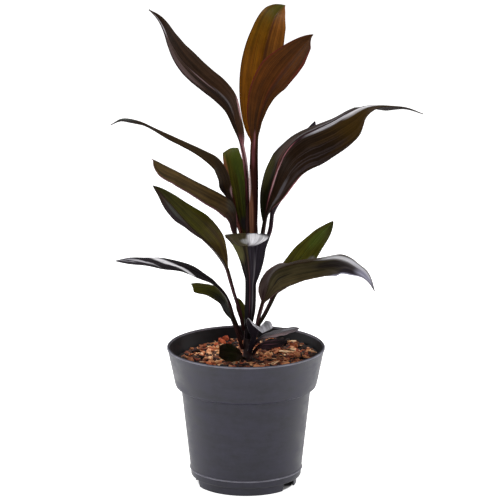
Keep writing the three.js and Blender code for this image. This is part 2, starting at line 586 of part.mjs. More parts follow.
// One cross-section: points over the face from left to right, then back under it.
function leafSection(curve, leaf, share, across) {
  const { centre, left, face } = leafFrame(curve, leaf, share);
  const open = opening(leaf, share);
  const fold = toRadians(along(leaf.fold, share) * open);
  const clear = THREE.MathUtils.smoothstep(share, ...CLASP_SHARES);
  const channel = THREE.MathUtils.lerp(CLASP_CHANNEL, PETIOLE_CHANNEL, clear);
  const arch = toRadians(THREE.MathUtils.lerp(channel, along(leaf.arch, share), open));
  const rib = THREE.MathUtils.lerp(PETIOLE_THICKNESS, RIB_THICKNESS * (1 - RIB_FADE * share), open);
  const margin = THREE.MathUtils.lerp(PETIOLE_MARGIN, BLADE_THICKNESS, open);
  const upper = [];
  const lower = [];
  for (let step = across; step >= -across; step--) {
    const out = Math.abs(step) / across;
    const sign = Math.sign(step);
    const widest = sign > 0 ? leaf.halves[0] : leaf.halves[1];
    const ease = along((sign > 0 ? leaf.easeLeft : leaf.easeRight) ?? EVEN, share);
    const stalk = leaf.stalk ? along(leaf.stalk, share) : PETIOLE_HALF_WIDTH;
    const tip = leaf.trim ? PETIOLE_HALF_WIDTH : TIP_HALF_WIDTH;
    const least = THREE.MathUtils.lerp(stalk, tip, THREE.MathUtils.smoothstep(share, ...TAPER_SHARES));
    const half = Math.max(least, widest * ease * bladeWidth(leaf, share));
    const turn = fold + arch * out;
    const middle = fold + (arch * out) / 2;
    const reach = half * out;
    const x = sign * reach * Math.cos(middle);
    const y = reach * Math.sin(middle);
    const thick = THREE.MathUtils.lerp(rib, margin, Math.sqrt(out));
    const top = centre.clone().addScaledVector(left, x).addScaledVector(face, y);
    const tilt = sign * turn * Math.min(1, reach / FULL_TILT_REACH);
    const bottom = top.clone();
    bottom.addScaledVector(left, Math.sin(tilt) * thick).addScaledVector(face, -Math.cos(tilt) * thick);
    upper.push(top);
    lower.push(bottom);
  }
  return [...upper, ...lower.reverse()];
}

function leafMesh(leaf) {
  const curve = midrib(leaf);
  const stations = leaf.small ? SMALL_STATIONS : STATIONS;
  const across = leaf.small ? 2 : 3;
  const rings = [];
  for (let station = 0; station <= stations; station++) {
    const share = 1 - Math.pow(1 - station / stations, TIP_CROWDING);
    rings.push(leafSection(curve, leaf, share, across));
  }
  return namedMesh(leaf.name, closedLoft(rings), leaf.colour, 0.4);
}

// The whole plant in its pot
const plant = new THREE.Group();
plant.add(nurseryPot(), pottingMix(), cane());
for (const leaf of LEAVES) {
  plant.add(leafMesh(leaf));
}
const box = new THREE.Box3().setFromObject(plant);
const centre = box.getCenter(new THREE.Vector3());
plant.position.set(-centre.x, -centre.y, -box.min.z);

export default plant;
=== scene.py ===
import math
import random

import bmesh
import bpy
from mathutils import Matrix, Vector


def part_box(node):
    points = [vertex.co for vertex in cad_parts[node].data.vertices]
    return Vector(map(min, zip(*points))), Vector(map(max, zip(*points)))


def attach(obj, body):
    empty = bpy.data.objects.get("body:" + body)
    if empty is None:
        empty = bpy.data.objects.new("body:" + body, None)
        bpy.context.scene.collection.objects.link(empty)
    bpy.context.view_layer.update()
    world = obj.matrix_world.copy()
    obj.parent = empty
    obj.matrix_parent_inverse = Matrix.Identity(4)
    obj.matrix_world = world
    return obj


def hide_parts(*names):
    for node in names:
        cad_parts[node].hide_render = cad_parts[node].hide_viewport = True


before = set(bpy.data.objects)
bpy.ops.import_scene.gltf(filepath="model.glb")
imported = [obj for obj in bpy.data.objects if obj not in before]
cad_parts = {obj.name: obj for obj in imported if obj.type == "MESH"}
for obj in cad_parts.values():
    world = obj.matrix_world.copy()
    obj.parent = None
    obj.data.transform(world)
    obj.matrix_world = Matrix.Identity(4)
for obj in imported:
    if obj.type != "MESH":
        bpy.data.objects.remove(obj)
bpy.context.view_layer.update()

# The camera. A long lens looks down a little at the whole plant from 4.2 m in front of it. Its aim
# lies just right of the pot's axis, halfway up the plant.
MM = 0.001
CAMERA_DISTANCE = 4200 * MM
CAMERA_PITCH = math.radians(14.3)
CAMERA_AIM = Vector((4.3, 0, 258.4)) * MM
CAMERA_LENS = 282.8
CAMERA_SENSOR = 36
CAMERA_VIEW_DEPTH = 30

pot_low, pot_high = (Vector(corner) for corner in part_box("nursery_pot"))
pot_foot = Vector(((pot_low.x + pot_high.x) / 2, (pot_low.y + pot_high.y) / 2, pot_low.z))


def add_object(name, data):
    """A new object at the origin, unturned and unscaled, in the scene."""
    piece = bpy.data.objects.new(name, data)
    bpy.context.scene.collection.objects.link(piece)
    return piece


camera = add_object("camera", bpy.data.cameras.new("camera"))
bpy.context.scene.camera = camera
back_off = Vector((0, -math.cos(CAMERA_PITCH), math.sin(CAMERA_PITCH))) * CAMERA_DISTANCE
camera.location = pot_foot + CAMERA_AIM + back_off
camera.rotation_euler = (math.pi / 2 - CAMERA_PITCH, 0, 0)
camera.data.sensor_width = CAMERA_SENSOR
camera.data.lens = CAMERA_LENS
camera.data.clip_end = CAMERA_VIEW_DEPTH


# The studio. The plant stands on a wide sheet of white paper that is lit until it is pure white. A
# dim sky and four softboxes, one above, one at each side and one in front, light the plant itself.
FLOOR_SIZE = 14.0
PAPER_GAP = 0.2 * MM
PAPER_GLOW = 0.93
# Within this radius of the pot's axis the paper doesn't glow: a painted shadow under the pot, seen
# through the notches in its foot.
PAINTED_SHADOW_RADIUS = 51 * MM
PAINTED_SHADOW_FADE = 2 * MM
SKY_FRONT = 0.12
SKY_BACK = 0.3
SKY_FADE = (-0.6, 0.7)
LIT_HEIGHT = 280 * MM


def srgb(code):
    """A colour written as sRGB hex, as linear red, green, blue and alpha."""
    parts = [int(code[i:i + 2], 16) / 255 for i in (0, 2, 4)]
    linear = [part / 12.92 if part <= 0.04045 else ((part + 0.055) / 1.055) ** 2.4 for part in parts]
    return (*linear, 1.0)


def add_node(tree, kind, inputs=None, **settings):
    """Adds a node. An input is given a constant, or a node or one of its outputs to link. A node
    stands for the first output that it has in use."""
    node = tree.nodes.new(kind)
    for name, value in settings.items():
        setattr(node, name, value)
    for socket, value in (inputs or {}).items():
        if isinstance(value, bpy.types.Node):
            value = next(output for output in value.outputs if output.enabled)
        if isinstance(value, bpy.types.NodeSocket):
            tree.links.new(value, node.inputs[socket])
        else:
            node.inputs[socket].default_value = value
    return node


def new_surface(name):
    """An empty material, and the tree that its nodes go into."""
    material = bpy.data.materials.new(name)
    material.use_nodes = True
    material.node_tree.nodes.clear()
    return material, material.node_tree


def finish_surface(tree, inputs):
    """The surface's shader, linked to the material's output."""
    shader = add_node(tree, "ShaderNodeBsdfPrincipled", inputs)
    add_node(tree, "ShaderNodeOutputMaterial", {"Surface": shader})


def white_paper():
    """Seamless background paper: matt, without grain at this distance, lit until it is white, apart
    from the round place that the pot stands on, where the glow is left out as a painted shadow."""
    material, tree = new_surface("white_paper")
    place = add_node(tree, "ShaderNodeTexCoord")
    away = add_node(tree, "ShaderNodeVectorMath", {
        0: place.outputs["Object"], 1: (pot_foot.x, pot_foot.y, pot_foot.z - PAPER_GAP),
    }, operation="DISTANCE")
    glow = add_node(tree, "ShaderNodeMapRange", {
        "Value": away, "From Min": PAINTED_SHADOW_RADIUS, "From Max": PAINTED_SHADOW_RADIUS + PAINTED_SHADOW_FADE,
        "To Max": PAPER_GLOW,
    })
    finish_surface(tree, {
        "Base Color": srgb("d8d8d8"), "Roughness": 0.9,
        "Emission Color": srgb("ffffff"), "Emission Strength": glow,
    })
    return material


floor_shape = bmesh.new()
bmesh.ops.create_grid(floor_shape, x_segments=1, y_segments=1, size=FLOOR_SIZE / 2)
bmesh.ops.translate(floor_shape, verts=floor_shape.verts, vec=(0, 0, pot_low.z - PAPER_GAP))
floor_mesh = bpy.data.meshes.new("floor")
floor_shape.to_mesh(floor_mesh)
floor_mesh.materials.append(white_paper())
add_object("floor", floor_mesh)


def studio_sky():
    """Dim grey surroundings, brightest behind the plant and dimmest behind the camera."""
    world = bpy.data.worlds.new("studio")
    world.use_nodes = True
    tree = world.node_tree
    tree.nodes.clear()
    place = add_node(tree, "ShaderNodeTexCoord")
    parts = add_node(tree, "ShaderNodeSeparateXYZ", {"Vector": place.outputs["Generated"]})
    strength = add_node(tree, "ShaderNodeMapRange", {
        "Value": parts.outputs["Y"], "From Min": SKY_FADE[0], "From Max": SKY_FADE[1],
        "To Min": SKY_FRONT, "To Max": SKY_BACK,
    }, interpolation_type="SMOOTHSTEP")
    light = add_node(tree, "ShaderNodeBackground", {"Strength": strength})
    add_node(tree, "ShaderNodeOutputWorld", {"Surface": light})
    return world


def softbox(name, place, aim, size, power):
    """A square lamp behind diffusing cloth, turned towards what it lights."""
    lamp = bpy.data.lights.new(name, "AREA")
    lamp.size = size
    lamp.energy = power
    fitting = add_object(name, lamp)
    fitting.location = place
    fitting.rotation_euler = (Vector(aim) - Vector(place)).to_track_quat("-Z", "Y").to_euler()


bpy.context.scene.world = studio_sky()
plant_middle = pot_foot + Vector((0, 0, LIT_HEIGHT))
softbox("softbox_top", (-0.2, 0.5, 1.9), plant_middle, 0.9, 26)
softbox("softbox_right", (1.7, 0.2, 0.9), plant_middle, 0.8, 14)
softbox("softbox_left", (-1.7, 0.3, 0.8), plant_middle, 0.8, 12)
softbox("softbox_front", (-0.6, -2.4, 1.7), plant_middle, 1.4, 22)
bpy.context.scene.view_settings.view_transform = "Standard"


# The nursery pot. It is one injection moulding in thin black polypropylene, with a flared collar, a
# fine raised line near the base, and a foot ring that is notched for drainage below a drilled floor.
RIM_RADIUS = (pot_high.x - pot_low.x) / 2
POT_HEIGHT = pot_high.z - pot_low.z
COLLAR_FOOT = (76.6 * MM, 112 * MM)
BODY_TOP = (69.8 * MM, 106.2 * MM)
BODY_FOOT = (60.2 * MM, 17.4 * MM)
LEDGE = (59.4 * MM, 9.8 * MM)
FOOT_RADIUS = 54.4 * MM
POT_WALL = 1.5 * MM
POT_FLOOR = 11.4 * MM
POT_STEPS = 192
LIP = 0.9 * MM
LINE_RELIEF = 0.7 * MM
NOTCH_AZIMUTHS = (-31, 80, 190.5)
NOTCH_ARC = 25
NOTCH_HEIGHT = 9.4 * MM
NOTCH_TAPER = 0.82
NOTCH_DEPTH = 12 * MM
OVERCUT = 1 * MM
DRAIN_RADIUS = 5 * MM
DRAIN_CIRCLE = 38 * MM
DRAIN_COUNT = 6
DRAIN_SIDES = 28
EASED = 0.4 * MM
CREASE = math.radians(32)
MERGE_REACH = 0.01 * MM
FLOW_STREAK = (42 * MM, 42 * MM, 7.7 * MM)
CLOUD_SIZE = 16.7 * MM
GRAIN_SIZE = 0.7 * MM
# Heights and reaches of the painted highlight along the raised line and along the lip.
HIGHLIGHTED_EDGES = ((BODY_FOOT[1], 0.9 * MM), (POT_HEIGHT - LIP, 0.8 * MM))
EDGE_HIGHLIGHT_COLOUR = "9a98a4"
OUTSIDE_COLOURS = ("191822", "2c2a38")
# Darker colours for the pot's inside and for its faces underneath: painted shade.
SHADED_INSIDE_COLOURS = ("08080b", "16151a")


def pot_profile():
    """The moulding's section as radius and height, from the middle of its underside round to the
    middle of its floor."""
    line_radius = BODY_FOOT[0] + LINE_RELIEF
    line_height = BODY_FOOT[1]
    inner_lip = RIM_RADIUS - LIP - POT_WALL
    return [
        # The floor's underside and the foot ring.
        (0, POT_FLOOR - POT_WALL),
        (FOOT_RADIUS - POT_WALL, POT_FLOOR - POT_WALL),
        (FOOT_RADIUS - POT_WALL - 0.2 * MM, 0),
        (FOOT_RADIUS, 0),
        (FOOT_RADIUS + EASED, LEDGE[1] - EASED),
        # The ledge over the ring, the raised line and the body.
        (LEDGE[0] - EASED, LEDGE[1]),
        (LEDGE[0], LEDGE[1] + 0.5 * MM),
        (BODY_FOOT[0] - 0.3 * MM, line_height - LINE_RELIEF),
        (line_radius, line_height - LINE_RELIEF * 0.6),
        (line_radius, line_height + LINE_RELIEF * 0.4),
        (BODY_FOOT[0], line_height + LINE_RELIEF),
        BODY_TOP,
        # The collar and its lip.
        (COLLAR_FOOT[0] - MM, COLLAR_FOOT[1] - 2.6 * MM),
        COLLAR_FOOT,
        (RIM_RADIUS - LIP, POT_HEIGHT - 3.4 * MM),
        (RIM_RADIUS, POT_HEIGHT - 2.4 * MM),
        (RIM_RADIUS, POT_HEIGHT - LIP),
        (RIM_RADIUS - LIP, POT_HEIGHT),
        (inner_lip, POT_HEIGHT),
        # The inside, down to the floor.
        (inner_lip - EASED, POT_HEIGHT - 3 * MM),
        (COLLAR_FOOT[0] - POT_WALL, COLLAR_FOOT[1] + 0.6 * MM),
        (BODY_TOP[0] - POT_WALL, BODY_TOP[1] + EASED),
        (BODY_FOOT[0] - POT_WALL, BODY_FOOT[1]),
        (LEDGE[0] - POT_WALL - MM, POT_FLOOR),
        (0, POT_FLOOR),
    ]


def spun(profile, steps):
    """A closed body turned from a section that starts and ends on the axis."""
    shape = bmesh.new()
    points = [shape.verts.new((radius, 0, height)) for radius, height in profile]
    edges = [shape.edges.new(pair) for pair in zip(points, points[1:])]
    bmesh.ops.spin(shape, geom=points + edges, axis=(0, 0, 1), cent=(0, 0, 0), steps=steps,
                   angle=2 * math.pi, use_merge=True)
    bmesh.ops.remove_doubles(shape, verts=shape.verts, dist=MERGE_REACH)
    bmesh.ops.recalc_face_normals(shape, faces=shape.faces)
    return shape


def pot_cutters():
    """The notches in the foot ring and the drain holes, as one set of bodies to take away."""
    shape = bmesh.new()
    half = math.tan(math.radians(NOTCH_ARC / 2)) * FOOT_RADIUS
    for azimuth in NOTCH_AZIMUTHS:
        notch = bmesh.ops.create_cube(shape, size=1)["verts"]
        bmesh.ops.scale(shape, verts=notch, vec=(2 * half, NOTCH_DEPTH, NOTCH_HEIGHT + OVERCUT))
        bmesh.ops.translate(shape, verts=notch, vec=(0, FOOT_RADIUS, (NOTCH_HEIGHT - OVERCUT) / 2))
        for corner in notch:
            if corner.co.z > 0:
                corner.co.x *= NOTCH_TAPER
        turn = Matrix.Rotation(math.radians(azimuth - 90), 3, "Z")
        bmesh.ops.rotate(shape, verts=notch, cent=(0, 0, 0), matrix=turn)
    places = [(0, 0)]
    for i in range(DRAIN_COUNT):
        angle = 2 * math.pi * i / DRAIN_COUNT
        places.append((DRAIN_CIRCLE * math.cos(angle), DRAIN_CIRCLE * math.sin(angle)))
    for x, y in places:
        hole = bmesh.ops.create_cone(shape, cap_ends=True, segments=DRAIN_SIDES, radius1=DRAIN_RADIUS,
                                     radius2=DRAIN_RADIUS, depth=3 * POT_WALL)["verts"]
        bmesh.ops.translate(shape, verts=hole, vec=(x, y, POT_FLOOR - POT_WALL / 2))
    return shape


def place_mesh(shape, name):
    """The shape as a mesh, moved from the pot's axis to its place in the frame."""
    bmesh.ops.translate(shape, verts=shape.verts, vec=pot_foot)
    mesh = bpy.data.meshes.new(name)
    shape.to_mesh(mesh)
    shape.free()
    return mesh


def moulded_polypropylene(name, dark, light):
    """Injection-moulded polypropylene with carbon black: charcoal with a violet cast and a satin
    skin. Level flow streaks and cloudy handling marks break up its sheen, and a paler painted
    highlight runs along the raised line and the lip, broken up by the cloudy marks."""
    material, tree = new_surface(name)
    place = add_node(tree, "ShaderNodeTexCoord")
    level = add_node(tree, "ShaderNodeMapping", {
        "Vector": place.outputs["Object"], "Scale": [1 / size for size in FLOW_STREAK],
    })
    streaks = add_node(tree, "ShaderNodeTexNoise", {
        "Vector": level, "Scale": 1, "Detail": 6, "Roughness": 0.7,
    })
    clouds = add_node(tree, "ShaderNodeTexNoise", {
        "Vector": place.outputs["Object"], "Scale": 1 / CLOUD_SIZE, "Detail": 5, "Roughness": 0.65,
    })
    marks = add_node(tree, "ShaderNodeMath", {0: streaks, 1: clouds}, operation="ADD")
    cloudy = add_node(tree, "ShaderNodeMapRange", {"Value": marks, "From Min": 0.75, "From Max": 1.25})
    colour = add_node(tree, "ShaderNodeMix", {
        "Factor": cloudy, "A": srgb(dark), "B": srgb(light),
    }, data_type="RGBA")
    height = add_node(tree, "ShaderNodeSeparateXYZ", {"Vector": place.outputs["Object"]})
    # A painted highlight along the raised line and the lip, broken up by the cloudy marks.
    for edge_height, reach in HIGHLIGHTED_EDGES:
        on_edge = add_node(tree, "ShaderNodeMath", {
            0: height.outputs["Z"], 1: edge_height, 2: reach,
        }, operation="COMPARE")
        edge_highlight = add_node(tree, "ShaderNodeMath", {0: on_edge, 1: clouds}, operation="MULTIPLY")
        colour = add_node(tree, "ShaderNodeMix", {
            "Factor": edge_highlight, "A": colour, "B": srgb(EDGE_HIGHLIGHT_COLOUR),
        }, data_type="RGBA")
    gloss = add_node(tree, "ShaderNodeMapRange", {
        "Value": marks, "From Min": 0.7, "From Max": 1.3, "To Min": 0.36, "To Max": 0.6,
    })
    grain = add_node(tree, "ShaderNodeTexNoise", {
        "Vector": place.outputs["Object"], "Scale": 1 / GRAIN_SIZE, "Detail": 2,
    })
    relief = add_node(tree, "ShaderNodeBump", {"Height": grain, "Strength": 0.12, "Distance": 0.1 * MM})
    finish_surface(tree, {
        "Base Color": colour, "Roughness": gloss, "IOR": 1.49, "Specular IOR Level": 0.35,
        "Normal": relief,
    })
    return material


def cut_away(name, body, cutters):
    """The body less the cutters, as a new mesh."""
    body_piece = add_object(name, place_mesh(body, name))
    cutter_piece = add_object("cutters", place_mesh(cutters, "cutters"))
    cut = body_piece.modifiers.new("cut", "BOOLEAN")
    cut.operation = "DIFFERENCE"
    cut.object = cutter_piece
    cut.solver = "EXACT"
    view = bpy.context.evaluated_depsgraph_get()
    mesh = bpy.data.meshes.new_from_object(body_piece.evaluated_get(view))
    body_piece.modifiers.remove(cut)
    body_piece.data = mesh
    bpy.data.objects.remove(cutter_piece)
    return body_piece


pot = cut_away("pot", spun(pot_profile(), POT_STEPS), pot_cutters())
pot.data.materials.clear()
pot.data.materials.append(moulded_polypropylene("black_polypropylene", *OUTSIDE_COLOURS))
# The inside and the faces underneath take a darker copy of the plastic, as painted shade.
pot.data.materials.append(moulded_polypropylene("shaded_polypropylene", *SHADED_INSIDE_COLOURS))
for face in pot.data.polygons:
    outwards = Vector((face.center.x - pot_foot.x, face.center.y - pot_foot.y, 0))
    underneath = face.normal.z < -0.5 and face.center.z < pot_foot.z + 2 * NOTCH_HEIGHT
    face.material_index = int(face.normal.dot(outwards) < 0 or underneath)
pot.data.shade_smooth()
pot.data.set_sharp_from_angle(angle=CREASE)
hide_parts("nursery_pot")
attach(pot, "root")


# The potting mix. It is composted bark and coir filled loosely into the pot, which has settled a
# little deeper at the left. Chips and shreds of bark lie on top, from red-brown to pale tan.
MIX_LEVEL = 137 * MM
MIX_SLOPE_RIGHT = 0.055
MIX_SLOPE_BACK = 0.02
CHIP_RELIEF = 1.5 * MM
MIX_EDGE = 78.1 * MM
MIX_FOOT = 56.6 * MM
MIX_SHOULDER = 66.8 * MM
CANE_HOLE_RADIUS = 7.1 * MM
CANE_ROOT_HEIGHT = 86 * MM
CANE_HOLE_FLOOR = CANE_ROOT_HEIGHT - 0.4 * MM
CHIP_COUNT = 1150
SHRED_COUNT = 220
CHIP_BATCH = 60
CHIP_SEED = 12
CHIP_LENGTH = (5, 14)
CHIP_WIDTH_SHARE = (0.36, 0.7)
CHIP_THICKNESS_SHARE = (0.2, 0.4)
CHIP_RISE = (-0.6, 2.0)
CHIP_TILT = 34
CHIP_CORNERS = (0.72, 1.15)
CHIP_SHADING = 0.09
CANE_CLEARANCE = 0.4
WALL_CLEARANCE = 0.5
SHRED_LENGTH = (8, 17)
SHRED_WIDTH = (1.3, 2.6)
SHRED_THICKNESS = (0.8, 1.4)
SHRED_RISE = (1.2, 2.8)
SHRED_TILT = 18
SHRED_TONE = (0.45, 1)
SHRED_REDNESS = 0.2
# Of all chips the share up to which a kind goes, and how dark and how pale that kind is.
BARK_TONES = ((0.36, 0, 0.28), (0.76, 0.34, 0.64), (1, 0.7, 1))
# The bare mix between the chips: its own damp dark brown, darkened to near black as painted shade in the
# gaps.
DAMP_AND_SHADED_GROUND_TONE = 0.02
MIX_RINGS = 46
MIX_STEPS = 150
FIBRE_SPACING = 1.1 * MM
STAIN_SIZE = 6.25 * MM
STAIN_DEPTH = 0.34
BARK_BROWNS = [
    (0.0, "0a0504"), (0.22, "30180c"), (0.46, "743e20"), (0.64, "a2623a"), (0.8, "cc9260"),
    (1.0, "f0d0a4"),
]
BARK_REDS = [(0.0, "0a0303"), (0.3, "38120a"), (0.6, "a2401f"), (1.0, "e07a4c")]


def mix_height(x, y):
    """The height of the mix at a place: a tilted level with lumps about 20 and 8 mm apart."""
    u, v = x / MM, y / MM
    coarse = math.sin(u * 0.31 + math.sin(v * 0.23) * 2) * math.cos(v * 0.37 + math.sin(u * 0.19) * 2)
    fine = math.sin(u * 0.83 - v * 0.41) * math.sin(v * 0.77 + u * 0.29)
    level = MIX_LEVEL + MIX_SLOPE_RIGHT * x + MIX_SLOPE_BACK * y
    return level + CHIP_RELIEF * (0.7 * coarse + 0.5 * fine)


def mix_body():
    """The filled body, spun and then lifted to the lumpy level, with the cane's hole in it."""
    profile = [(0, BODY_FOOT[1]), (MIX_FOOT, BODY_FOOT[1]), (MIX_SHOULDER, BODY_TOP[1])]
    for ring in range(MIX_RINGS + 1):
        radius = MIX_EDGE + (CANE_HOLE_RADIUS - MIX_EDGE) * ring / MIX_RINGS
        profile.append((radius, MIX_LEVEL))
    profile += [(CANE_HOLE_RADIUS, CANE_HOLE_FLOOR), (0, CANE_HOLE_FLOOR)]
    shape = spun(profile, MIX_STEPS)
    for point in shape.verts:
        if point.co.z > MIX_LEVEL - MM:
            point.co.z = mix_height(point.co.x, point.co.y)
    return shape


def add_chip(shape, layers, tone, redness, size, place, turn):
    """One angular chip of bark: a rough ball of a few faces, pressed flat, turned and placed."""
    chip = bmesh.ops.create_icosphere(shape, subdivisions=1, radius=0.5)["verts"]
    for corner in chip:
        corner.co *= random.uniform(*CHIP_CORNERS)
        corner.co = Vector((corner.co.x * size[0], corner.co.y * size[1], corner.co.z * size[2]))
        corner[layers[0]] = min(1, max(0, tone + random.uniform(-CHIP_SHADING, CHIP_SHADING)))
        corner[layers[1]] = redness
    bmesh.ops.rotate(shape, verts=chip, cent=(0, 0, 0), matrix=turn)
    bmesh.ops.translate(shape, verts=chip, vec=place)


def random_turn(tilt):
    """A turn to any azimuth with a tilt of up to so many degrees."""
    lean = Matrix.Rotation(math.radians(random.uniform(-tilt, tilt)), 3, "Y")
    roll = Matrix.Rotation(math.radians(random.uniform(-tilt, tilt)), 3, "X")
    return Matrix.Rotation(random.uniform(0, 2 * math.pi), 3, "Z") @ lean @ roll


def scatter_place(rise, length):
    """A place on the mix where a chip of that length is clear of the cane and of the pot's wall."""
    while True:
        radius = MIX_EDGE * math.sqrt(random.random())
        if CANE_HOLE_RADIUS + CANE_CLEARANCE * length < radius < MIX_EDGE - WALL_CLEARANCE * length:
            break
    angle = random.uniform(0, 2 * math.pi)
    x, y = radius * math.cos(angle), radius * math.sin(angle)
    return Vector((x, y, mix_height(x, y) + rise))


def bark_tone():
    """How light a chip is: about a third are dark, more are mid brown, and the rest, freshly broken,
    are pale."""
    kind = random.random()
    for share, darkest, palest in BARK_TONES:
        if kind < share:
            return random.uniform(darkest, palest)


def bark_chips():
    """The small chips and shreds: lightness, redness, size, place and turn of each."""
    chips = []
    for _ in range(CHIP_COUNT):
        length = random.uniform(*CHIP_LENGTH) * MM
        width = length * random.uniform(*CHIP_WIDTH_SHARE)
        size = (length, width, length * random.uniform(*CHIP_THICKNESS_SHARE))
        place = scatter_place(random.uniform(*CHIP_RISE) * MM, length)
        chips.append((bark_tone(), random.random() ** 2, size, place, random_turn(CHIP_TILT)))
    for _ in range(SHRED_COUNT):
        length = random.uniform(*SHRED_LENGTH) * MM
        width = random.uniform(*SHRED_WIDTH) * MM
        size = (length, width, random.uniform(*SHRED_THICKNESS) * MM)
        place = scatter_place(random.uniform(*SHRED_RISE) * MM, length)
        tone = random.uniform(*SHRED_TONE)
        chips.append((tone, SHRED_REDNESS, size, place, random_turn(SHRED_TILT)))
    return chips


def large_pieces():
    """The bigger lumps and flakes, from their place with the height over the mix, size, lightness,
    redness, azimuth and tilt. The first six are the heap of red ones."""
    flakes = [
        ((-22, 60, 6), (9, 6, 7), 0.66, 1, 20, 38),
        ((-28, 58, 5), (8, 6, 6), 0.56, 1, 70, 44),
        ((-25, 52, 4), (9, 5, 6), 0.72, 1, -30, 30),
        ((-18, 54, 3), (8, 6, 5), 0.5, 1, 110, 24),
        ((-32, 50, 2), (8, 5, 5), 0.62, 0.9, 40, 30),
        ((-27, 45, 2), (8, 5, 4), 0.46, 0.9, 5, 24),
        ((23, 3, 2), (11, 10, 8), 0.78, 0.15, 10, 10),
        ((45, 11, 2), (22, 5, 2.6), 0.95, 0.1, 8, 6),
        ((53, 17, 2), (17, 4.4, 2.4), 0.98, 0, -16, 8),
        ((54, 26, 4), (10, 5, 4), 0.66, 0.3, 80, 55),
        ((50, 33, 4), (9, 4, 5), 0.5, 0.3, 30, 60),
        ((61, 14, 2), (11, 6, 4), 0.6, 0.4, 120, 24),
        ((-46, -12, 0), (12, 5, 3), 0.84, 0.2, 35, 10),
        ((-34, -30, 0), (11, 5, 3), 0.72, 0.6, -20, 14),
        ((-8, -42, 0), (10, 4, 2.4), 0.88, 0.1, 12, 10),
        ((30, -36, 0), (12, 5, 3), 0.7, 0.5, -32, 12),
    ]
    chips = []
    for (x, y, rise), size, tone, redness, azimuth, tilt in flakes:
        place = Vector((x * MM, y * MM, mix_height(x * MM, y * MM) + rise * MM))
        lean = Matrix.Rotation(math.radians(tilt), 3, "Y")
        turn = Matrix.Rotation(math.radians(azimuth), 3, "Z") @ lean
        chips.append((tone, redness, [side * MM for side in size], place, turn))
    return chips


def add_chips(shape, chips):
    """Lays the chips on the mix, a batch at a time."""
    for start in range(0, len(chips), CHIP_BATCH):
        batch = bmesh.new()
        batch.verts.layers.float.new("tone")
        batch.verts.layers.float.new("redness")
        layers = [batch.verts.layers.float[name] for name in ("tone", "redness")]
        for chip in chips[start:start + CHIP_BATCH]:
            add_chip(batch, layers, *chip)
        batch_mesh = bpy.data.meshes.new("chips")
        batch.to_mesh(batch_mesh)
        batch.free()
        shape.from_mesh(batch_mesh)
        bpy.data.meshes.remove(batch_mesh)


def set_stops(node, stops):
    """Gives a colour ramp its stops, each a position and an sRGB colour."""
    ramp = node.color_ramp
    while len(ramp.elements) < len(stops):
        ramp.elements.new(0.5)
    for element, (position, code) in zip(ramp.elements, stops):
        element.position = position
        element.color = srgb(code)


def composted_bark():
    """Pine bark and coir, damp inside and dry on top: matt, each chip of its own brown with stains
    about 6 mm across, and a fibrous skin with a grain of about a millimetre."""
    material, tree = new_surface("composted_bark")
    tone = add_node(tree, "ShaderNodeAttribute", attribute_name="tone")
    redness = add_node(tree, "ShaderNodeAttribute", attribute_name="redness")
    place = add_node(tree, "ShaderNodeTexCoord")
    fibre = add_node(tree, "ShaderNodeTexNoise", {
        "Vector": place.outputs["Object"], "Scale": 1 / FIBRE_SPACING, "Detail": 3,
    })
    stain = add_node(tree, "ShaderNodeTexNoise", {
        "Vector": place.outputs["Object"], "Scale": 1 / STAIN_SIZE, "Detail": 2,
    })
    lighter = add_node(tree, "ShaderNodeMath", {
        0: stain, 1: STAIN_DEPTH, 2: tone.outputs["Fac"],
    }, operation="MULTIPLY_ADD")
    level = add_node(tree, "ShaderNodeMath", {0: lighter, 1: -STAIN_DEPTH / 2}, operation="ADD")
    browns = add_node(tree, "ShaderNodeValToRGB", {"Fac": level})
    set_stops(browns, BARK_BROWNS)
    reds = add_node(tree, "ShaderNodeValToRGB", {"Fac": level})
    set_stops(reds, BARK_REDS)
    colour = add_node(tree, "ShaderNodeMix", {
        "Factor": redness.outputs["Fac"], "A": browns, "B": reds,
    }, data_type="RGBA")
    relief = add_node(tree, "ShaderNodeBump", {"Height": fibre, "Strength": 0.6, "Distance": 0.4 * MM})
    finish_surface(tree, {"Base Color": colour, "Roughness": 0.88, "Normal": relief})
    return material


random.seed(CHIP_SEED)
mix_shape = mix_body()
mix_shape.verts.layers.float.new("tone")
mix_shape.verts.layers.float.new("redness")
damp_and_shaded_ground = mix_shape.verts.layers.float["tone"]
# The bare mix is near black: damp mix, with painted shade in the gaps between the chips.
for point in mix_shape.verts:
    point[damp_and_shaded_ground] = DAMP_AND_SHADED_GROUND_TONE
add_chips(mix_shape, bark_chips() + large_pieces())
mix = add_object("bark_mix", place_mesh(mix_shape, "bark_mix"))
mix.data.materials.append(composted_bark())
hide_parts("potting_mix")
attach(mix, "root")


# The cane. It is the plant's upright stem, woody at the root and ringed by the scars of fallen
# leaves, and wrapped in the dry purple-black sheaths that those leaves left.
CANE_ROOT_RADIUS = 5.9 * MM
CANE_TOP_RADIUS = 3.9 * MM
CANE_PATH = [(0.5, 0, 86), (1, 0, 136), (3.6, 0, 190), (5.2, 0.3, 235), (6, 1, 266)]
SCAR_PITCH = 7 * MM
SCAR_RELIEF = 0.3 * MM
SCAR_SHARPNESS = 6
SHEATH_GRAIN = (2.4 * MM, 2.4 * MM, 38.5 * MM)
SHEATH_COLOURS = [(0.34, "170e10"), (0.54, "2c1a1c"), (0.68, "6a4a44")]
CANE_SIDES = 40
CANE_ROWS = 130
CANE_CREASE = math.radians(50)
CURVE_SAMPLES = 60
SHORTEST_STEP = 0.001 * MM
SEAM_REACH = 0.001 * MM


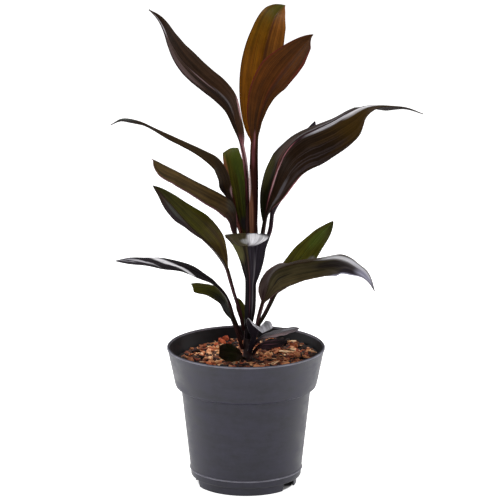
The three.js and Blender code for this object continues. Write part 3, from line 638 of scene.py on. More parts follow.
def smooth_through(points):
    """Closely spaced points on a smooth curve through the given ones, with the length up to each.
    Its tangents depend on the spacing of the points, so it never loops between close ones."""
    knots = [points[0] * 2 - points[1], *points, points[-1] * 2 - points[-2]]
    places = []
    for a, b, c, d in zip(knots, knots[1:], knots[2:], knots[3:]):
        steps = (max((q - p).length, SHORTEST_STEP) for p, q in ((a, b), (b, c), (c, d)))
        before, here, after = (math.sqrt(step) for step in steps)
        start = ((b - a) / before - (c - a) / (before + here) + (c - b) / here) * here
        end = ((c - b) / here - (d - b) / (here + after) + (d - c) / after) * here
        for i in range(CURVE_SAMPLES):
            t = i / CURVE_SAMPLES
            cubic = (b - c) * 2 + start + end
            square = (c - b) * 3 - start * 2 - end
            places.append(((cubic * t + square) * t + start) * t + b)
    places.append(points[-1].copy())
    lengths = [0.0]
    for p, q in zip(places, places[1:]):
        lengths.append(lengths[-1] + (q - p).length)
    return places, lengths


def point_at(curve, share):
    """The place and the direction at a share of a curve's length."""
    places, lengths = curve
    wanted = share * lengths[-1]
    low, high = 0, len(lengths) - 1
    while high - low > 1:
        middle = (low + high) // 2
        if lengths[middle] <= wanted:
            low = middle
        else:
            high = middle
    step = places[high] - places[low]
    part = (wanted - lengths[low]) / (lengths[high] - lengths[low])
    before = places[max(low - 1, 0)]
    after = places[min(high + 1, len(places) - 1)]
    return places[low] + step * part, (after - before).normalized()


def closed_sleeve(around, rows, place_of):
    """A closed body from a grid that is rolled up: place_of gives the place of a column and a row.
    The sleeve's seam is merged and its two ends are filled."""
    shape = bmesh.new()
    bmesh.ops.create_grid(shape, x_segments=around, y_segments=rows, size=0.5, calc_uvs=False)
    uv_layer = shape.loops.layers.uv.new("leaf")
    grid = {}
    for point in shape.verts:
        grid[point] = (round((point.co.x + 0.5) * around), round((point.co.y + 0.5) * rows))
    for face in shape.faces:
        for loop in face.loops:
            column, row = grid[loop.vert]
            loop[uv_layer].uv = (column / around, row / rows)
    for point, (column, row) in grid.items():
        point.co = place_of(column % around, row)
    bmesh.ops.remove_doubles(shape, verts=shape.verts, dist=SEAM_REACH)
    open_edges = [edge for edge in shape.edges if edge.is_boundary]
    bmesh.ops.holes_fill(shape, edges=open_edges, sides=0)
    bmesh.ops.recalc_face_normals(shape, faces=shape.faces)
    return shape


cane_curve = smooth_through([Vector(point) * MM for point in CANE_PATH])
CANE_TOP_HEIGHT = CANE_PATH[-1][2] * MM


def cane_at(height):
    """The middle and the radius of the cane at a height."""
    share = (height - CANE_ROOT_HEIGHT) / (CANE_TOP_HEIGHT - CANE_ROOT_HEIGHT)
    share = min(1, max(0, share))
    radius = CANE_ROOT_RADIUS + (CANE_TOP_RADIUS - CANE_ROOT_RADIUS) * share
    return point_at(cane_curve, share)[0], radius


def cane_place(column, row):
    """A place on the cane's skin, which is pinched in a little between its ring scars."""
    height = CANE_ROOT_HEIGHT + (CANE_TOP_HEIGHT - CANE_ROOT_HEIGHT) * row / CANE_ROWS
    middle, radius = cane_at(height)
    scar = max(0, math.cos(2 * math.pi * height / SCAR_PITCH)) ** SCAR_SHARPNESS
    radius += SCAR_RELIEF * (scar - 1)
    angle = 2 * math.pi * column / CANE_SIDES
    return middle + Vector((math.cos(angle), math.sin(angle), 0)) * radius


def cane_bark():
    """Young cane under old leaf sheaths: satin and purple-black, with paler sheath edges that run
    lengthwise, about 2 mm apart."""
    material, tree = new_surface("cane_bark")
    place = add_node(tree, "ShaderNodeTexCoord")
    lengthwise = add_node(tree, "ShaderNodeMapping", {
        "Vector": place.outputs["Object"], "Scale": [1 / size for size in SHEATH_GRAIN],
    })
    sheaths = add_node(tree, "ShaderNodeTexNoise", {"Vector": lengthwise, "Scale": 1, "Detail": 4})
    colour = add_node(tree, "ShaderNodeValToRGB", {"Fac": sheaths})
    set_stops(colour, SHEATH_COLOURS)
    relief = add_node(tree, "ShaderNodeBump", {"Height": sheaths, "Strength": 0.4, "Distance": 0.3 * MM})
    finish_surface(tree, {"Base Color": colour, "Roughness": 0.5, "Normal": relief})
    return material


cane_shape = closed_sleeve(CANE_SIDES, CANE_ROWS, cane_place)
cane = add_object("cane_stem", place_mesh(cane_shape, "cane_stem"))
cane.data.materials.append(cane_bark())
cane.data.shade_smooth()
cane.data.set_sharp_from_angle(angle=CANE_CREASE)
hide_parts("cane")
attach(cane, "root")


# The leaves. Each is one strap-shaped blade that narrows into a channelled stalk, which clasps the
# cane. The blades are leathery and satin, pleated lengthwise along their veins, with a stout midrib
# and a thin dark margin. Their colours run from amber through olive and bronze to purple-black.
PETIOLE_HALF_WIDTH = 2.7 * MM
CLASP_CHANNEL = 26
PETIOLE_CHANNEL = 58
PETIOLE_THICKNESS = 2.4 * MM
PETIOLE_MARGIN = 1 * MM
BLADE_THICKNESS = 0.75 * MM
RIB_THICKNESS = 1.9 * MM
RIB_FADE = 0.55
TIP_HALF_WIDTH = 0.7 * MM
CLASP_SHARES = (0.03, 0.14)
TAPER_SHARES = (0.4, 0.9)
FOOT_TURN_SHARE = 0.16
OPENING_BEFORE = 0.06
OPENING_AFTER = 0.14
FULL_TILT_REACH = 3 * MM
FOOT_GAP = 0.55 * MM
TIP_CROWDING = 1.35
EVEN = [(0, 1), (1, 1)]
USUAL_ARCH = [(0, -6), (1, -6)]
PLEATS = 4
PLEAT_HEIGHT = 0.16 * MM
GROOVE_DEPTH = 0.5 * MM
GROOVE_WIDTH = 1.1 * MM
RIPPLE = 0.45 * MM
RIPPLE_COUNT = 5
FULL_RELIEF_WIDTH = 8 * MM
THINNING = 0.5
MARGIN_CROWDING = 1.2
LEAF_COLUMNS = 13
LEAF_ROWS = 84
SMALL_LEAF_ROWS = 36
LEAF_CREASE = math.radians(55)
VEIN_COUNT = 15
VEIN_SLANT = 7
VEIN_SHADES = (0.88, 1.1)
STREAK_SCALE = 0.85
STREAK_STRENGTH = 0.6
STREAK_DEPTH = 0.5
STREAK_TOPS = (0.54, 0.74)
STREAK_SPAN = (0.36, 0.58)
BAND_COUNTS = (5.2, 2.4, 1)
BAND_OFFSET = 1.7
BAND_DRIFT = 0.5
BAND_DEPTH = 0.4
BLOTCH_SIZE = 13.3 * MM
BLOTCH_DEPTH = 0.16
NOISE_SPAN = (0.3, 0.7)
MARK_GROUND = 0.5
MARK_EDGE = 0.6
COLOUR_LEAD = 0.1
COLOUR_LAG = 0.08
HALF_BLEND = 0.05
MARGIN_SHARES = (0.93, 0.99)
RIB_SHARES = (0.06, 0.025)
RIB_STRENGTH = 0.8
RIB_END = (0.97, 0.6)
CUTICLE_IOR = 1.42
LEAF_ROUGHNESS = (0.32, 0.48)
UNDERSIDE_DULLNESS = 0.15

# The colours that a leaf of this plant can take.
# Of these, white, silver, mist, lilac, shell and blush, and ash, dove and pewter in some marks, stand for
# painted highlights and sheen.
LEAF_COLOURS = {
    "amber": "7c4a0a", "honey": "6c4014", "copper": "86503a", "chestnut": "4a2606", "bronze": "38200c",
    "umber": "2a1b10", "earth": "20150c", "ink": "120b0d", "plum": "2a1316", "mulberry": "361f28",
    "wine": "521b12", "rose": "a0646a", "mauve": "6a4650", "slate": "262128", "steel": "464148",
    "ash": "6c686c", "silver": "bcbac0", "white": "e0dee2", "blush": "d0a4a8", "moss": "2a280a",
    "olive": "3c390a", "fern": "3c4614", "night_green": "1a1b0a", "maroon": "2a100c", "sepia": "3a290a",
    "pewter": "4c524e", "taupe": "4a3c38", "dove": "867072", "khaki": "46361c", "lilac": "a8a6b8",
    "mist": "a4a6a8", "loden": "3c3522", "rosewood": "5c3032", "cinnamon": "8a5c44", "shell": "f0d2d0",
    "sage": "5a5636",
}

# Millimetres from the pot's axis and degrees. A leaf starts on the cane at node, an azimuth and a
# height, and its midrib runs on through path towards its heading. halves: greatest half-widths, left
# and right as seen from its foot. blade: share of the length where the blade starts, widest: share of
# the blade where it is widest, narrowing: how fast it narrows from there. roll: turn about the midrib,
# fold: rise of each half at the midrib and arch: further turn towards the margin, each as (share of
# length, value). ease_left and ease_right: how that half departs from the even outline, and stalk:
# half-widths of a stout petiole, listed alike. trim: share of the blade that was left when its tip was
# cut off. small: whether fewer cross-sections are enough. left and right: colours of that half
# at stalk, foot, middle and tip, with right as left where it isn't given. rib, margin, streak and under:
# colours of those. patches: each mark's colour, share of the length, share of the half-width, above 0 on
# the left, reach along and across, strength, and slant where it has one.
# Marks in the pale colours are painted highlights and sheen where light catches a blade; the other marks
# are the leaves' own markings.
LEAVES = [
    # Its amber and honey are partly the blade's own bronze and partly a painted glow of light shining
    # through it from behind.
    dict(
        name="leaf_crown_back", slot="leaf_bronze", node=(62, 256), heading=68,
        path=[
            (9, 8, 290), (9.5, 10, 325), (9, 11, 366), (10.5, 17, 400), (15.5, 28, 450), (22.5, 42, 482),
            (30.5, 58, 501), (37, 72, 507), (42, 84, 508.5),
        ],
        halves=(21.5, 22), blade=0.41, widest=0.48, narrowing=1.25,
        stalk=[(0, 2.7), (0.08, 3.6), (1, 3.6)],
        ease_left=[(0, 1), (0.7, 1), (0.82, 0.96), (0.92, 1.04), (1, 1)],
        ease_right=[
            (0, 0.5), (0.55, 0.5), (0.62, 0.7), (0.72, 0.97), (0.86, 0.94), (0.94, 0.7), (1, 0.3),
        ],
        roll=[(0, 0), (0.4, 18), (1, 20)], fold=[(0, 8), (1, 8)], arch=[(0, -8), (1, -8)],
        left="chestnut amber amber olive", right="wine honey honey honey", rib="umber", margin="chestnut",
        streak="chestnut",
        patches=[
            ("wine", 0.42, -0.4, 0.12, 0.6, 0.7), ("olive", 0.97, 0.2, 0.12, 0.9, 0.8),
            ("maroon", 0.72, -0.12, 0.4, 0.12, 0.7),
        ],
    ),
    # The cinnamon and shell marks on its stalk are painted highlights.
    dict(
        name="leaf_crown_front", slot="leaf_bronze", node=(322, 258), heading=325,
        path=[
            (9.5, -7, 285), (9.3, -7.5, 325), (9.5, -8.5, 380), (14, -13, 410), (23, -18, 437),
            (36, -24, 458), (48, -30, 474), (60, -35, 489), (70, -40, 501),
        ],
        halves=(24, 25), blade=0.44, widest=0.55, narrowing=1.75,
        stalk=[(0, 2.7), (0.08, 6), (0.3, 5.6), (0.4, 4.2), (1, 4.2)],
        ease_left=[
            (0, 0.4), (0.6, 0.5), (0.65, 0.66), (0.7, 1.04), (0.76, 1.08), (0.84, 1.15), (0.93, 1.05),
            (1, 0.1),
        ],
        ease_right=[(0, 0.8), (0.62, 0.78), (0.7, 0.86), (0.78, 0.98), (1, 1)],
        roll=[(0, 0), (0.42, -28), (1, -28)], fold=[(0, 10), (0.4, 17), (1, 14)],
        left="maroon bronze chestnut bronze", rib="wine", margin="wine", streak="chestnut",
        patches=[
            ("cinnamon", 0.15, -0.85, 0.14, 0.5, 1), ("shell", 0.28, -1, 0.08, 0.3, 1),
            ("rosewood", 0.42, -0.4, 0.09, 0.45, 1), ("rose", 0.47, -0.3, 0.05, 0.2, 0.5),
            ("maroon", 0.66, 0.2, 0.26, 0.2, 0.6), ("wine", 0.85, 0.95, 0.2, 0.25, 0.9),
        ],
    ),
    # Its blush, shell, ash, dove and silver marks are painted highlights and sheen.
    dict(
        name="leaf_upper_left", slot="leaf_dark", node=(200, 263), heading=182,
        path=[
            (2, -2, 303), (0, -2, 347), (-4, -2, 371), (-11, -2, 396), (-19, -3, 418), (-30, -4, 431),
            (-43, -4, 442), (-56, -4, 454), (-70, -4, 470), (-79, -2, 485), (-87, 0, 502), (-94, 2, 512),
            (-102, 4, 519),
        ],
        halves=(24, 25), blade=0.36, widest=0.5, narrowing=1.75,
        stalk=[(0, 2.7), (0.06, 3.6), (0.36, 3.6), (1, 2.7)],
        ease_left=[
            (0, 0.9), (0.45, 0.9), (0.52, 0.84), (0.6, 0.86), (0.7, 0.98), (0.75, 1), (0.86, 0.75),
            (0.94, 0.35), (1, 0.3),
        ],
        ease_right=[(0, 1), (0.85, 1), (0.95, 0.8), (1, 0.5)],
        roll=[(0, 0), (0.4, -23), (1, -23)], fold=[(0, 8), (0.4, 11), (1, 9)], arch=[(0, -4), (1, -4)],
        left="maroon earth umber taupe", right="maroon bronze umber umber", rib="ink", margin="ink",
        streak="taupe",
        patches=[
            ("rose", 0.34, 0, 0.1, 1.2, 1), ("rosewood", 0.25, 0.5, 0.1, 0.5, 1),
            ("blush", 0.29, -0.8, 0.14, 0.7, 1), ("shell", 0.27, -0.9, 0.12, 0.5, 1),
            ("blush", 0.5, -0.9, 0.05, 0.2, 0.9), ("ash", 0.56, -0.1, 0.08, 0.15, 0.5, 20),
            ("ink", 0.62, 0.4, 0.16, 0.2, 0.8), ("dove", 0.78, 0.75, 0.16, 0.25, 0.3),
            ("dove", 0.68, 0.05, 0.08, 0.12, 0.8, 30), ("silver", 0.93, 0.5, 0.06, 0.4, 0.8),
        ],
    ),
    # Its blush marks are painted highlights and its pewter mark is painted sheen at the tip.
    dict(
        name="leaf_left_long", slot="leaf_bronze", node=(150, 250), heading=188,
        path=[
            (-6.5, 7, 281), (-11, 6, 298), (-14, 5.5, 314), (-15.5, 5, 329), (-19.5, 3.5, 344),
            (-29, 0.5, 359), (-45, -5, 369.5), (-70, -11, 382.5), (-93, -15, 394), (-113, -19, 404),
            (-131, -22, 407), (-143, -25, 401),
        ],
        halves=(20, 19), blade=0.22, widest=0.36, narrowing=1.7,
        ease_left=[
            (0, 1.2), (0.3, 1.15), (0.4, 1.12), (0.5, 1.18), (0.58, 1.05), (0.68, 0.92), (0.85, 1.1),
            (0.92, 2), (1, 2.2),
        ],
        ease_right=[(0, 1.1), (0.3, 1.1), (0.37, 1.5), (0.44, 1.6), (0.52, 1.35), (0.6, 1.1), (1, 1)],
        roll=[(0, 0), (0.33, -21), (0.55, 2), (0.8, 4), (1, 4)],
        fold=[(0, -25), (0.35, -25), (0.55, -16), (0.8, -8), (1, -8)],
        left="wine umber sepia ink", right="wine bronze bronze ink", rib="wine", margin="ink",
        streak="khaki",
        patches=[
            ("blush", 0.3, 0.1, 0.035, 0.35, 1), ("blush", 0.35, -0.9, 0.05, 0.3, 0.9),
            ("ink", 0.33, 0.9, 0.05, 0.3, 0.7), ("pewter", 0.93, 0.4, 0.06, 0.5, 0.6),
        ],
    ),
    # Its pewter mark is painted sheen.
    dict(
        name="leaf_left_mid", slot="leaf_bronze", node=(206, 240), heading=208,
        path=[
            (-5, -7, 260), (-9, -10, 278), (-9, -13, 298), (-13, -17, 314), (-23, -23, 323.5),
            (-38, -29, 333), (-53, -36, 342.5), (-68, -43, 352.5), (-83, -50, 362), (-92, -55, 368),
            (-97, -58, 371),
        ],
        halves=(22, 20), blade=0.15, widest=0.56, narrowing=0.85,
        ease_left=[
            (0, 0.8), (0.3, 0.8), (0.38, 1.05), (0.45, 1.1), (0.55, 0.96), (0.65, 0.85), (0.85, 0.86),
            (0.95, 1.2), (1, 1.2),
        ],
        ease_right=[(0, 0.7), (0.35, 0.65), (0.5, 0.55), (0.8, 0.72), (0.92, 1), (1, 1)],
        roll=[(0, 0), (0.3, -40), (0.45, -31), (1, -26)], fold=[(0, -20), (0.4, -28), (1, -24)],
        left="plum plum khaki khaki", right="plum ink umber sepia", rib="mulberry", margin="mauve",
        streak="khaki",
        patches=[
            ("pewter", 0.42, 0.3, 0.07, 0.5, 0.4), ("rose", 0.3, 0.1, 0.06, 0.2, 0.9),
            ("rose", 0.33, -0.9, 0.06, 0.2, 0.8),
        ],
    ),
    # The slate and pewter marks on its left half are painted sheen.
    dict(
        name="leaf_left_green", slot="leaf_olive", node=(208, 171), heading=210,
        path=[
            (-7, -14, 197), (-12, -19, 215), (-16, -23, 230), (-21, -28, 247), (-30, -34, 262),
            (-39, -40, 274), (-49, -45, 285), (-59, -50, 297), (-69, -55, 310), (-80, -60, 325),
            (-89, -64, 337), (-97, -67, 345),
        ],
        halves=(20, 21), blade=0.38, widest=0.46, narrowing=1.45,
        ease_left=[(0, 1), (0.5, 0.9), (0.64, 0.63), (0.74, 0.69), (0.82, 1), (0.92, 1.2), (1, 1)],
        ease_right=[(0, 1), (0.42, 1.15), (0.5, 1.3), (0.6, 1.25), (0.7, 1.05), (0.9, 0.75), (1, 0.6)],
        roll=[(0, 0), (0.35, -38), (0.62, -41), (0.8, -56), (1, -58)],
        fold=[(0, 20), (0.4, 33), (0.64, 33), (0.8, 17), (1, 12)],
        left="plum night_green taupe umber", right="plum khaki olive moss", rib="earth", margin="ink",
        streak="sepia",
        patches=[
            ("slate", 0.8, 0.8, 0.16, 0.3, 0.8), ("pewter", 0.82, 0.4, 0.12, 0.3, 0.7),
            ("mauve", 0.3, 0.5, 0.2, 0.3, 0.9),
        ],
    ),
    # Its white and silver streaks are painted reflections on the ripples of the blade.
    dict(
        name="leaf_left_low", slot="leaf_dark", node=(158, 158), heading=184,
        path=[
            (-13, 3, 181), (-18, 3, 197), (-24, 2, 209), (-34, 0, 221), (-49, -2, 232), (-68, -4, 241),
            (-92, -7, 246), (-115, -10, 249), (-139, -13, 250),
        ],
        halves=(16, 14.5), blade=0.34, widest=0.5, narrowing=1.5,
        stalk=[(0, 2.7), (0.06, 3.9), (0.3, 3.9), (1, 2.7)],
        roll=[(0, 0), (0.4, -8), (1, -6)], fold=[(0, 3), (1, 3)], arch=[(0, -4), (1, -4)],
        left="plum ink ink slate", rib="ink", margin="ink", streak="slate",
        patches=[
            ("white", 0.585, 0.6, 0.9, 0.035, 1, 84), ("white", 0.65, 0.1, 1.2, 0.045, 1, 84),
            ("white", 0.715, -0.3, 0.9, 0.045, 1, 84), ("ink", 0.77, 0.6, 0.7, 0.035, 1, 84),
            ("silver", 0.83, 0.1, 1, 0.02, 1, 84), ("silver", 0.88, -0.1, 1, 0.03, 1, 84),
            ("silver", 0.95, 0, 0.7, 0.025, 0.9, 84),
        ],
    ),
    dict(
        name="leaf_left_cut", slot="leaf_olive", node=(205, 150), heading=194,
        path=[
            (-11, -13, 177), (-17, -17, 193), (-22, -20, 208), (-31, -23, 219), (-44, -27, 225),
            (-57, -31, 227),
        ],
        halves=(14.5, 12.5), blade=0.36, widest=0.45, narrowing=1.4, trim=0.82,
        stalk=[(0, 2.7), (0.06, 3.9), (1, 3.9)],
        ease_right=[(0, 1), (0.55, 1), (0.75, 0.8), (1, 0.75)],
        roll=[(0, 0), (0.4, -24), (1, -20)], fold=[(0, -5), (1, -5)], arch=[(0, -8), (1, -8)],
        left="plum ink night_green olive", right="plum earth olive olive", rib="olive", margin="earth",
        streak="fern",
        patches=[("ink", 0.62, 0.8, 0.25, 0.5, 0.6)],
    ),
    dict(
        name="leaf_small_back", slot="leaf_olive", node=(120, 164), heading=130,
        path=[(-3, 11, 180), (-5.5, 15, 190), (-9, 20, 200)],
        halves=(5.5, 5.5), blade=0.3, widest=0.5, narrowing=1.5, small=True,
        roll=[(0, 0), (1, -20)], fold=[(0, 10), (1, 10)],
        left="earth moss olive olive", rib="fern", margin="night_green", streak="fern",
    ),
    dict(
        name="leaf_back", slot="leaf_olive", node=(104, 240), heading=106,
        path=[
            (-1, 13.5, 279), (-4, 18.5, 299), (-7, 24.5, 320), (-11, 31, 339), (-14, 38, 352),
            (-16, 49, 359), (-17, 63, 354), (-17, 80, 342),
        ],
        halves=(14.5, 14), blade=0.14, widest=0.5, narrowing=1.3,
        ease_left=[(0, 1), (0.5, 0.95), (0.62, 0.85), (1, 0.8)],
        ease_right=[(0, 1), (0.5, 0.95), (0.62, 0.8), (0.75, 0.7), (1, 0.7)],
        roll=[(0, 0), (0.3, -12), (1, -12)], fold=[(0, 8), (0.45, 2), (0.65, -14), (1, -14)],
        left="bronze moss olive olive", right="earth moss fern olive", rib="fern", margin="night_green",
        streak="umber",
        patches=[
            ("copper", 0.62, 0.95, 0.14, 0.3, 0.8), ("fern", 0.68, -0.2, 0.14, 0.8, 1),
            ("slate", 0.27, 0, 0.06, 0.8, 0.9),
        ],
    ),
    # The blush on its pink midrib, the rose along its right margin, and its silver, white and ash marks
    # are painted highlights.
    dict(
        name="leaf_right_large", slot="leaf_dark", node=(336, 234), heading=352,
        path=[
            (17.5, -2, 275), (21.5, 0, 297), (27, 1, 321), (33, 1, 344), (39.5, 0.5, 361), (48.5, 0, 374),
            (60, -0.5, 384), (74, -1, 391), (90, -3, 399), (107, -6, 409.5), (124, -8, 417.5),
            (138, -11, 419.5), (153, -14, 419.5), (170, -17, 418), (187, -20, 412),
        ],
        halves=(29, 37), blade=0.18, widest=0.46, narrowing=1.5,
        stalk=[(0, 2.7), (0.06, 3.6), (1, 3.6)],
        ease_left=[
            (0, 1), (0.3, 1), (0.41, 1.18), (0.46, 0.92), (0.52, 0.82), (0.6, 0.92), (0.88, 0.8),
            (1, 0.55),
        ],
        ease_right=[(0, 1.05), (0.4, 1.08), (0.6, 1.06), (0.72, 1), (0.79, 0.7), (0.85, 0.2), (1, 0.05)],
        roll=[(0, 0), (0.29, 39), (0.38, 36), (0.5, 33), (0.74, 24), (0.86, -12), (1, -15)],
        fold=[(0, 14), (0.25, 14), (0.4, -8), (0.55, -26), (0.8, -24), (1, -10)],
        left="plum night_green umber ink", right="plum umber earth sepia", rib="mulberry", margin="ink",
        streak="steel",
        patches=[
            ("rosewood", 0.32, 0.15, 0.24, 0.08, 1, 58), ("rose", 0.33, 0.1, 0.2, 0.05, 1, 58),
            ("blush", 0.35, 0.07, 0.16, 0.035, 1, 58), ("wine", 0.44, 0.3, 0.24, 0.05, 1, -72),
            ("rose", 0.46, 0.02, 0.06, 0.06, 0.8), ("taupe", 0.46, 0.5, 0.08, 0.4, 0.8),
            ("olive", 0.35, 0.75, 0.08, 0.4, 0.7), ("ash", 0.3, -0.6, 0.1, 0.12, 0.7),
            ("silver", 0.66, -0.06, 0.14, 0.09, 1), ("white", 0.77, -0.12, 0.09, 0.14, 1),
            ("ash", 0.6, 0.3, 0.16, 0.12, 0.9), ("sepia", 0.74, -0.5, 0.1, 0.5, 0.8),
            ("rose", 0.35, -1, 0.12, 0.14, 1),
        ],
    ),
    dict(
        name="leaf_right_behind", slot="leaf_dark", node=(48, 248), heading=42,
        path=[(25, 16, 272), (30, 22, 303), (42, 30, 328), (57, 40, 353), (67, 48, 371), (74, 56, 387)],
        halves=(13.5, 13.5), blade=0.3, widest=0.5, narrowing=1.5,
        roll=[(0, 0), (1, 10)], fold=[(0, 8), (1, 8)],
        left="mulberry slate slate slate", rib="mauve", margin="mauve", streak="ash",
    ),
    # The white and mist marks where it bends over are painted reflection, and the ash mark on its stalk
    # is a painted highlight.
    dict(
        name="leaf_front", slot="leaf_dark", node=(264, 162), heading=268,
        path=[
            (4, -9, 190), (5, -12, 217), (4, -17, 246), (2, -25, 266), (1, -40, 284), (1, -60, 292),
            (2, -85, 293), (2, -106, 290),
        ],
        halves=(24.5, 24.5), blade=0.27, widest=0.6, narrowing=1.4,
        stalk=[(0, 2.7), (0.07, 3.2), (0.16, 5.8), (1, 5.8)],
        ease_right=[(0, 0.65), (0.45, 0.65), (0.56, 0.75), (0.64, 0.95), (1, 1)],
        roll=[(0, 0), (1, 0)], fold=[(0, 20), (0.5, 24), (0.64, 2), (1, -4)], arch=[(0, -8), (1, -8)],
        left="ink slate slate steel", right="ink ink loden loden", rib="slate", margin="ink",
        streak="steel",
        patches=[
            ("sage", 0.52, -0.8, 0.1, 0.5, 1), ("mist", 0.94, -0.2, 0.05, 0.4, 0.7),
            ("white", 0.9, 0.6, 0.12, 0.8, 1), ("white", 0.84, 0.4, 0.08, 0.5, 1),
            ("ash", 0.3, 0.35, 0.25, 0.12, 0.8), ("mauve", 0.3, -0.2, 0.25, 0.08, 0.8),
        ],
    ),
    # Its ash mark is a painted highlight along the lower edge.
    dict(
        name="leaf_right_green", slot="leaf_olive", node=(34, 166), heading=30,
        path=[
            (17, 7, 179), (25, 11, 193), (32, 15, 207), (42, 20, 221), (53, 26, 235), (65, 33, 250),
            (78, 40, 264), (86, 45, 271), (94, 50, 278),
        ],
        halves=(11, 17.5), blade=0.32, widest=0.5, narrowing=1.5,
        ease_left=[(0, 1.45), (0.55, 1.45), (0.72, 1.15), (0.88, 1), (1, 1)],
        roll=[(0, 0), (0.4, 22), (1, 22)], fold=[(0, 6), (1, 6)],
        left="earth umber olive olive", right="earth umber olive moss", rib="fern", margin="earth",
        streak="fern",
        patches=[
            ("fern", 0.84, 0, 0.16, 0.8, 1), ("ash", 0.66, -0.75, 0.05, 0.3, 0.6),
            ("mauve", 0.3, 0.6, 0.25, 0.3, 0.9),
        ],
    ),
    # Its silver, white and lilac marks are painted highlights.
    dict(
        name="leaf_right_arch", slot="leaf_bronze", node=(334, 156), heading=335,
        path=[
            (12.5, -12, 184), (17.5, -15, 202), (22, -18, 219), (25.5, -21, 233), (32, -25, 242.5),
            (47, -32, 250.5), (65, -38, 255.5), (80, -44, 260), (96, -50, 264), (107, -54, 262),
            (116, -58, 257), (126, -62, 250), (132, -65, 241), (136, -68, 231),
        ],
        halves=(20, 26.5), blade=0.24, widest=0.34, narrowing=1.3,
        ease_left=[
            (0, 1), (0.24, 1), (0.29, 1.25), (0.34, 1.7), (0.38, 1.6), (0.42, 1.15), (0.46, 0.6),
            (0.55, 0.7), (0.7, 1), (1, 1),
        ],
        ease_right=[
            (0, 1), (0.24, 0.6), (0.3, 0.7), (0.36, 0.95), (0.57, 0.8), (0.68, 0.93), (0.78, 1.25),
            (0.86, 0.95), (0.94, 0.6), (1, 0.5),
        ],
        roll=[(0, 0), (0.24, 62), (0.4, 38), (0.6, 28), (1, 10)],
        fold=[(0, -8), (0.22, -13), (0.45, -28), (1, -20)],
        left="plum taupe khaki steel", right="plum loden loden steel", rib="umber", margin="mauve",
        streak="khaki",
        patches=[
            ("taupe", 0.31, 0.65, 0.04, 0.5, 0.9), ("ink", 0.41, -0.45, 0.14, 0.05, 0.8),
            ("ink", 0.72, -0.4, 0.14, 0.25, 0.9), ("silver", 0.85, 0.3, 0.16, 0.6, 1),
            ("white", 0.78, 0.1, 0.18, 0.34, 1), ("white", 0.74, 0, 0.1, 0.16, 1),
            ("white", 0.7, 0.4, 0.06, 0.3, 0.9), ("silver", 0.88, 0, 0.08, 0.25, 1),
            ("slate", 0.84, -0.75, 0.08, 0.3, 1), ("lilac", 0.83, -1, 0.16, 0.2, 1),
            ("lilac", 0.92, -0.4, 0.08, 0.6, 1),
        ],
    ),
    # Its mist, silver and white upper face, rib, margin and streaks are a painted highlight; the slate
    # underside is its own colour.
    dict(
        name="leaf_low_cup", slot="leaf_dark", node=(298, 148), heading=292,
        path=[(9.5, -13, 166), (12, -19, 174.5), (14, -26, 180), (16, -33.5, 180.5), (17.5, -39, 177.5)],
        halves=(12.5, 17.5), blade=0.3, widest=0.7, narrowing=1.1, trim=0.75, small=True,
        roll=[(0, 0), (1, -4)], fold=[(0, 26), (1, 32)], arch=[(0, 14), (1, 14)],
        left="slate mist silver silver", rib="silver", margin="white", streak="silver", under="slate",
    ),
    # Its ash and dove colours and the silver streaks and mark are painted sheen on its grey-lit upper
    # face; the mulberry stalk is its own colour.
    dict(
        name="leaf_low_right_back", slot="leaf_dark", node=(12, 152), heading=6,
        path=[(17, 1, 161), (31, 1, 165), (44, 2, 168), (57, 3, 171)],
        halves=(7.5, 7.5), blade=0.2, widest=0.5, narrowing=1.2, small=True,
        roll=[(0, 0), (0.3, 12), (1, 16)], fold=[(0, 6), (1, 6)],
        left="mulberry ash ash ash", right="mulberry dove dove ash", rib="ash", margin="slate",
        streak="silver",
        patches=[("silver", 0.8, 0.5, 0.2, 0.3, 0.6)],
    ),
    dict(
        name="leaf_low_right_front", slot="leaf_dark", node=(350, 143), heading=338,
        path=[(11.5, -4, 151), (19, -8.5, 158), (28, -15, 161), (37, -21, 163), (44, -25, 164)],
        halves=(9, 11), blade=0.2, widest=0.5, narrowing=1.2, small=True,
        roll=[(0, 0), (0.3, 16), (1, 22)], fold=[(0, -8), (1, -8)],
        left="ink ink ink ink", rib="mulberry", margin="ink", streak="mauve",
        patches=[("mauve", 0.5, 0.3, 0.3, 0.12, 0.8), ("mauve", 0.6, -0.4, 0.3, 0.1, 0.8)],
    ),
    dict(
        name="leaf_low_left_stub", slot="leaf_dark", node=(236, 140), heading=212,
        path=[(-6, -12, 146), (-15, -16, 149.5), (-28.5, -19, 151)],
        halves=(10.5, 11), blade=0.2, widest=0.5, narrowing=0.95, trim=0.93, small=True,
        roll=[(0, 0), (0.3, -46), (1, -66)], fold=[(0, -6), (1, -6)], arch=[(0, -16), (1, -16)],
        left="ink earth night_green earth", rib="earth", margin="khaki", streak="umber",
    ),
]


def smooth_step(value, low, high):
    """A smooth rise from 0 at low to 1 at high."""
    part = min(1, max(0, (value - low) / (high - low)))
    return part * part * (3 - 2 * part)


def mixed(low, high, share):
    """The value that lies so far from low to high."""
    return low + (high - low) * share


def read_along(pairs, share):
    """A value listed as (share, value) pairs, read between them."""
    for (low, first), (high, last) in zip(pairs, pairs[1:]):
        if share <= high:
            return mixed(first, last, (share - low) / (high - low))
    return pairs[-1][1]


def midrib_curve(leaf):
    """The midrib's curve, from the skin of the cane through the leaf's own points."""
    azimuth, height = math.radians(leaf["node"][0]), leaf["node"][1] * MM
    middle, radius = cane_at(height)
    reach = radius + FOOT_GAP
    foot = Vector((middle.x + reach * math.cos(azimuth), middle.y + reach * math.sin(azimuth), height))
    return smooth_through([foot, *(Vector(point) * MM for point in leaf["path"])])


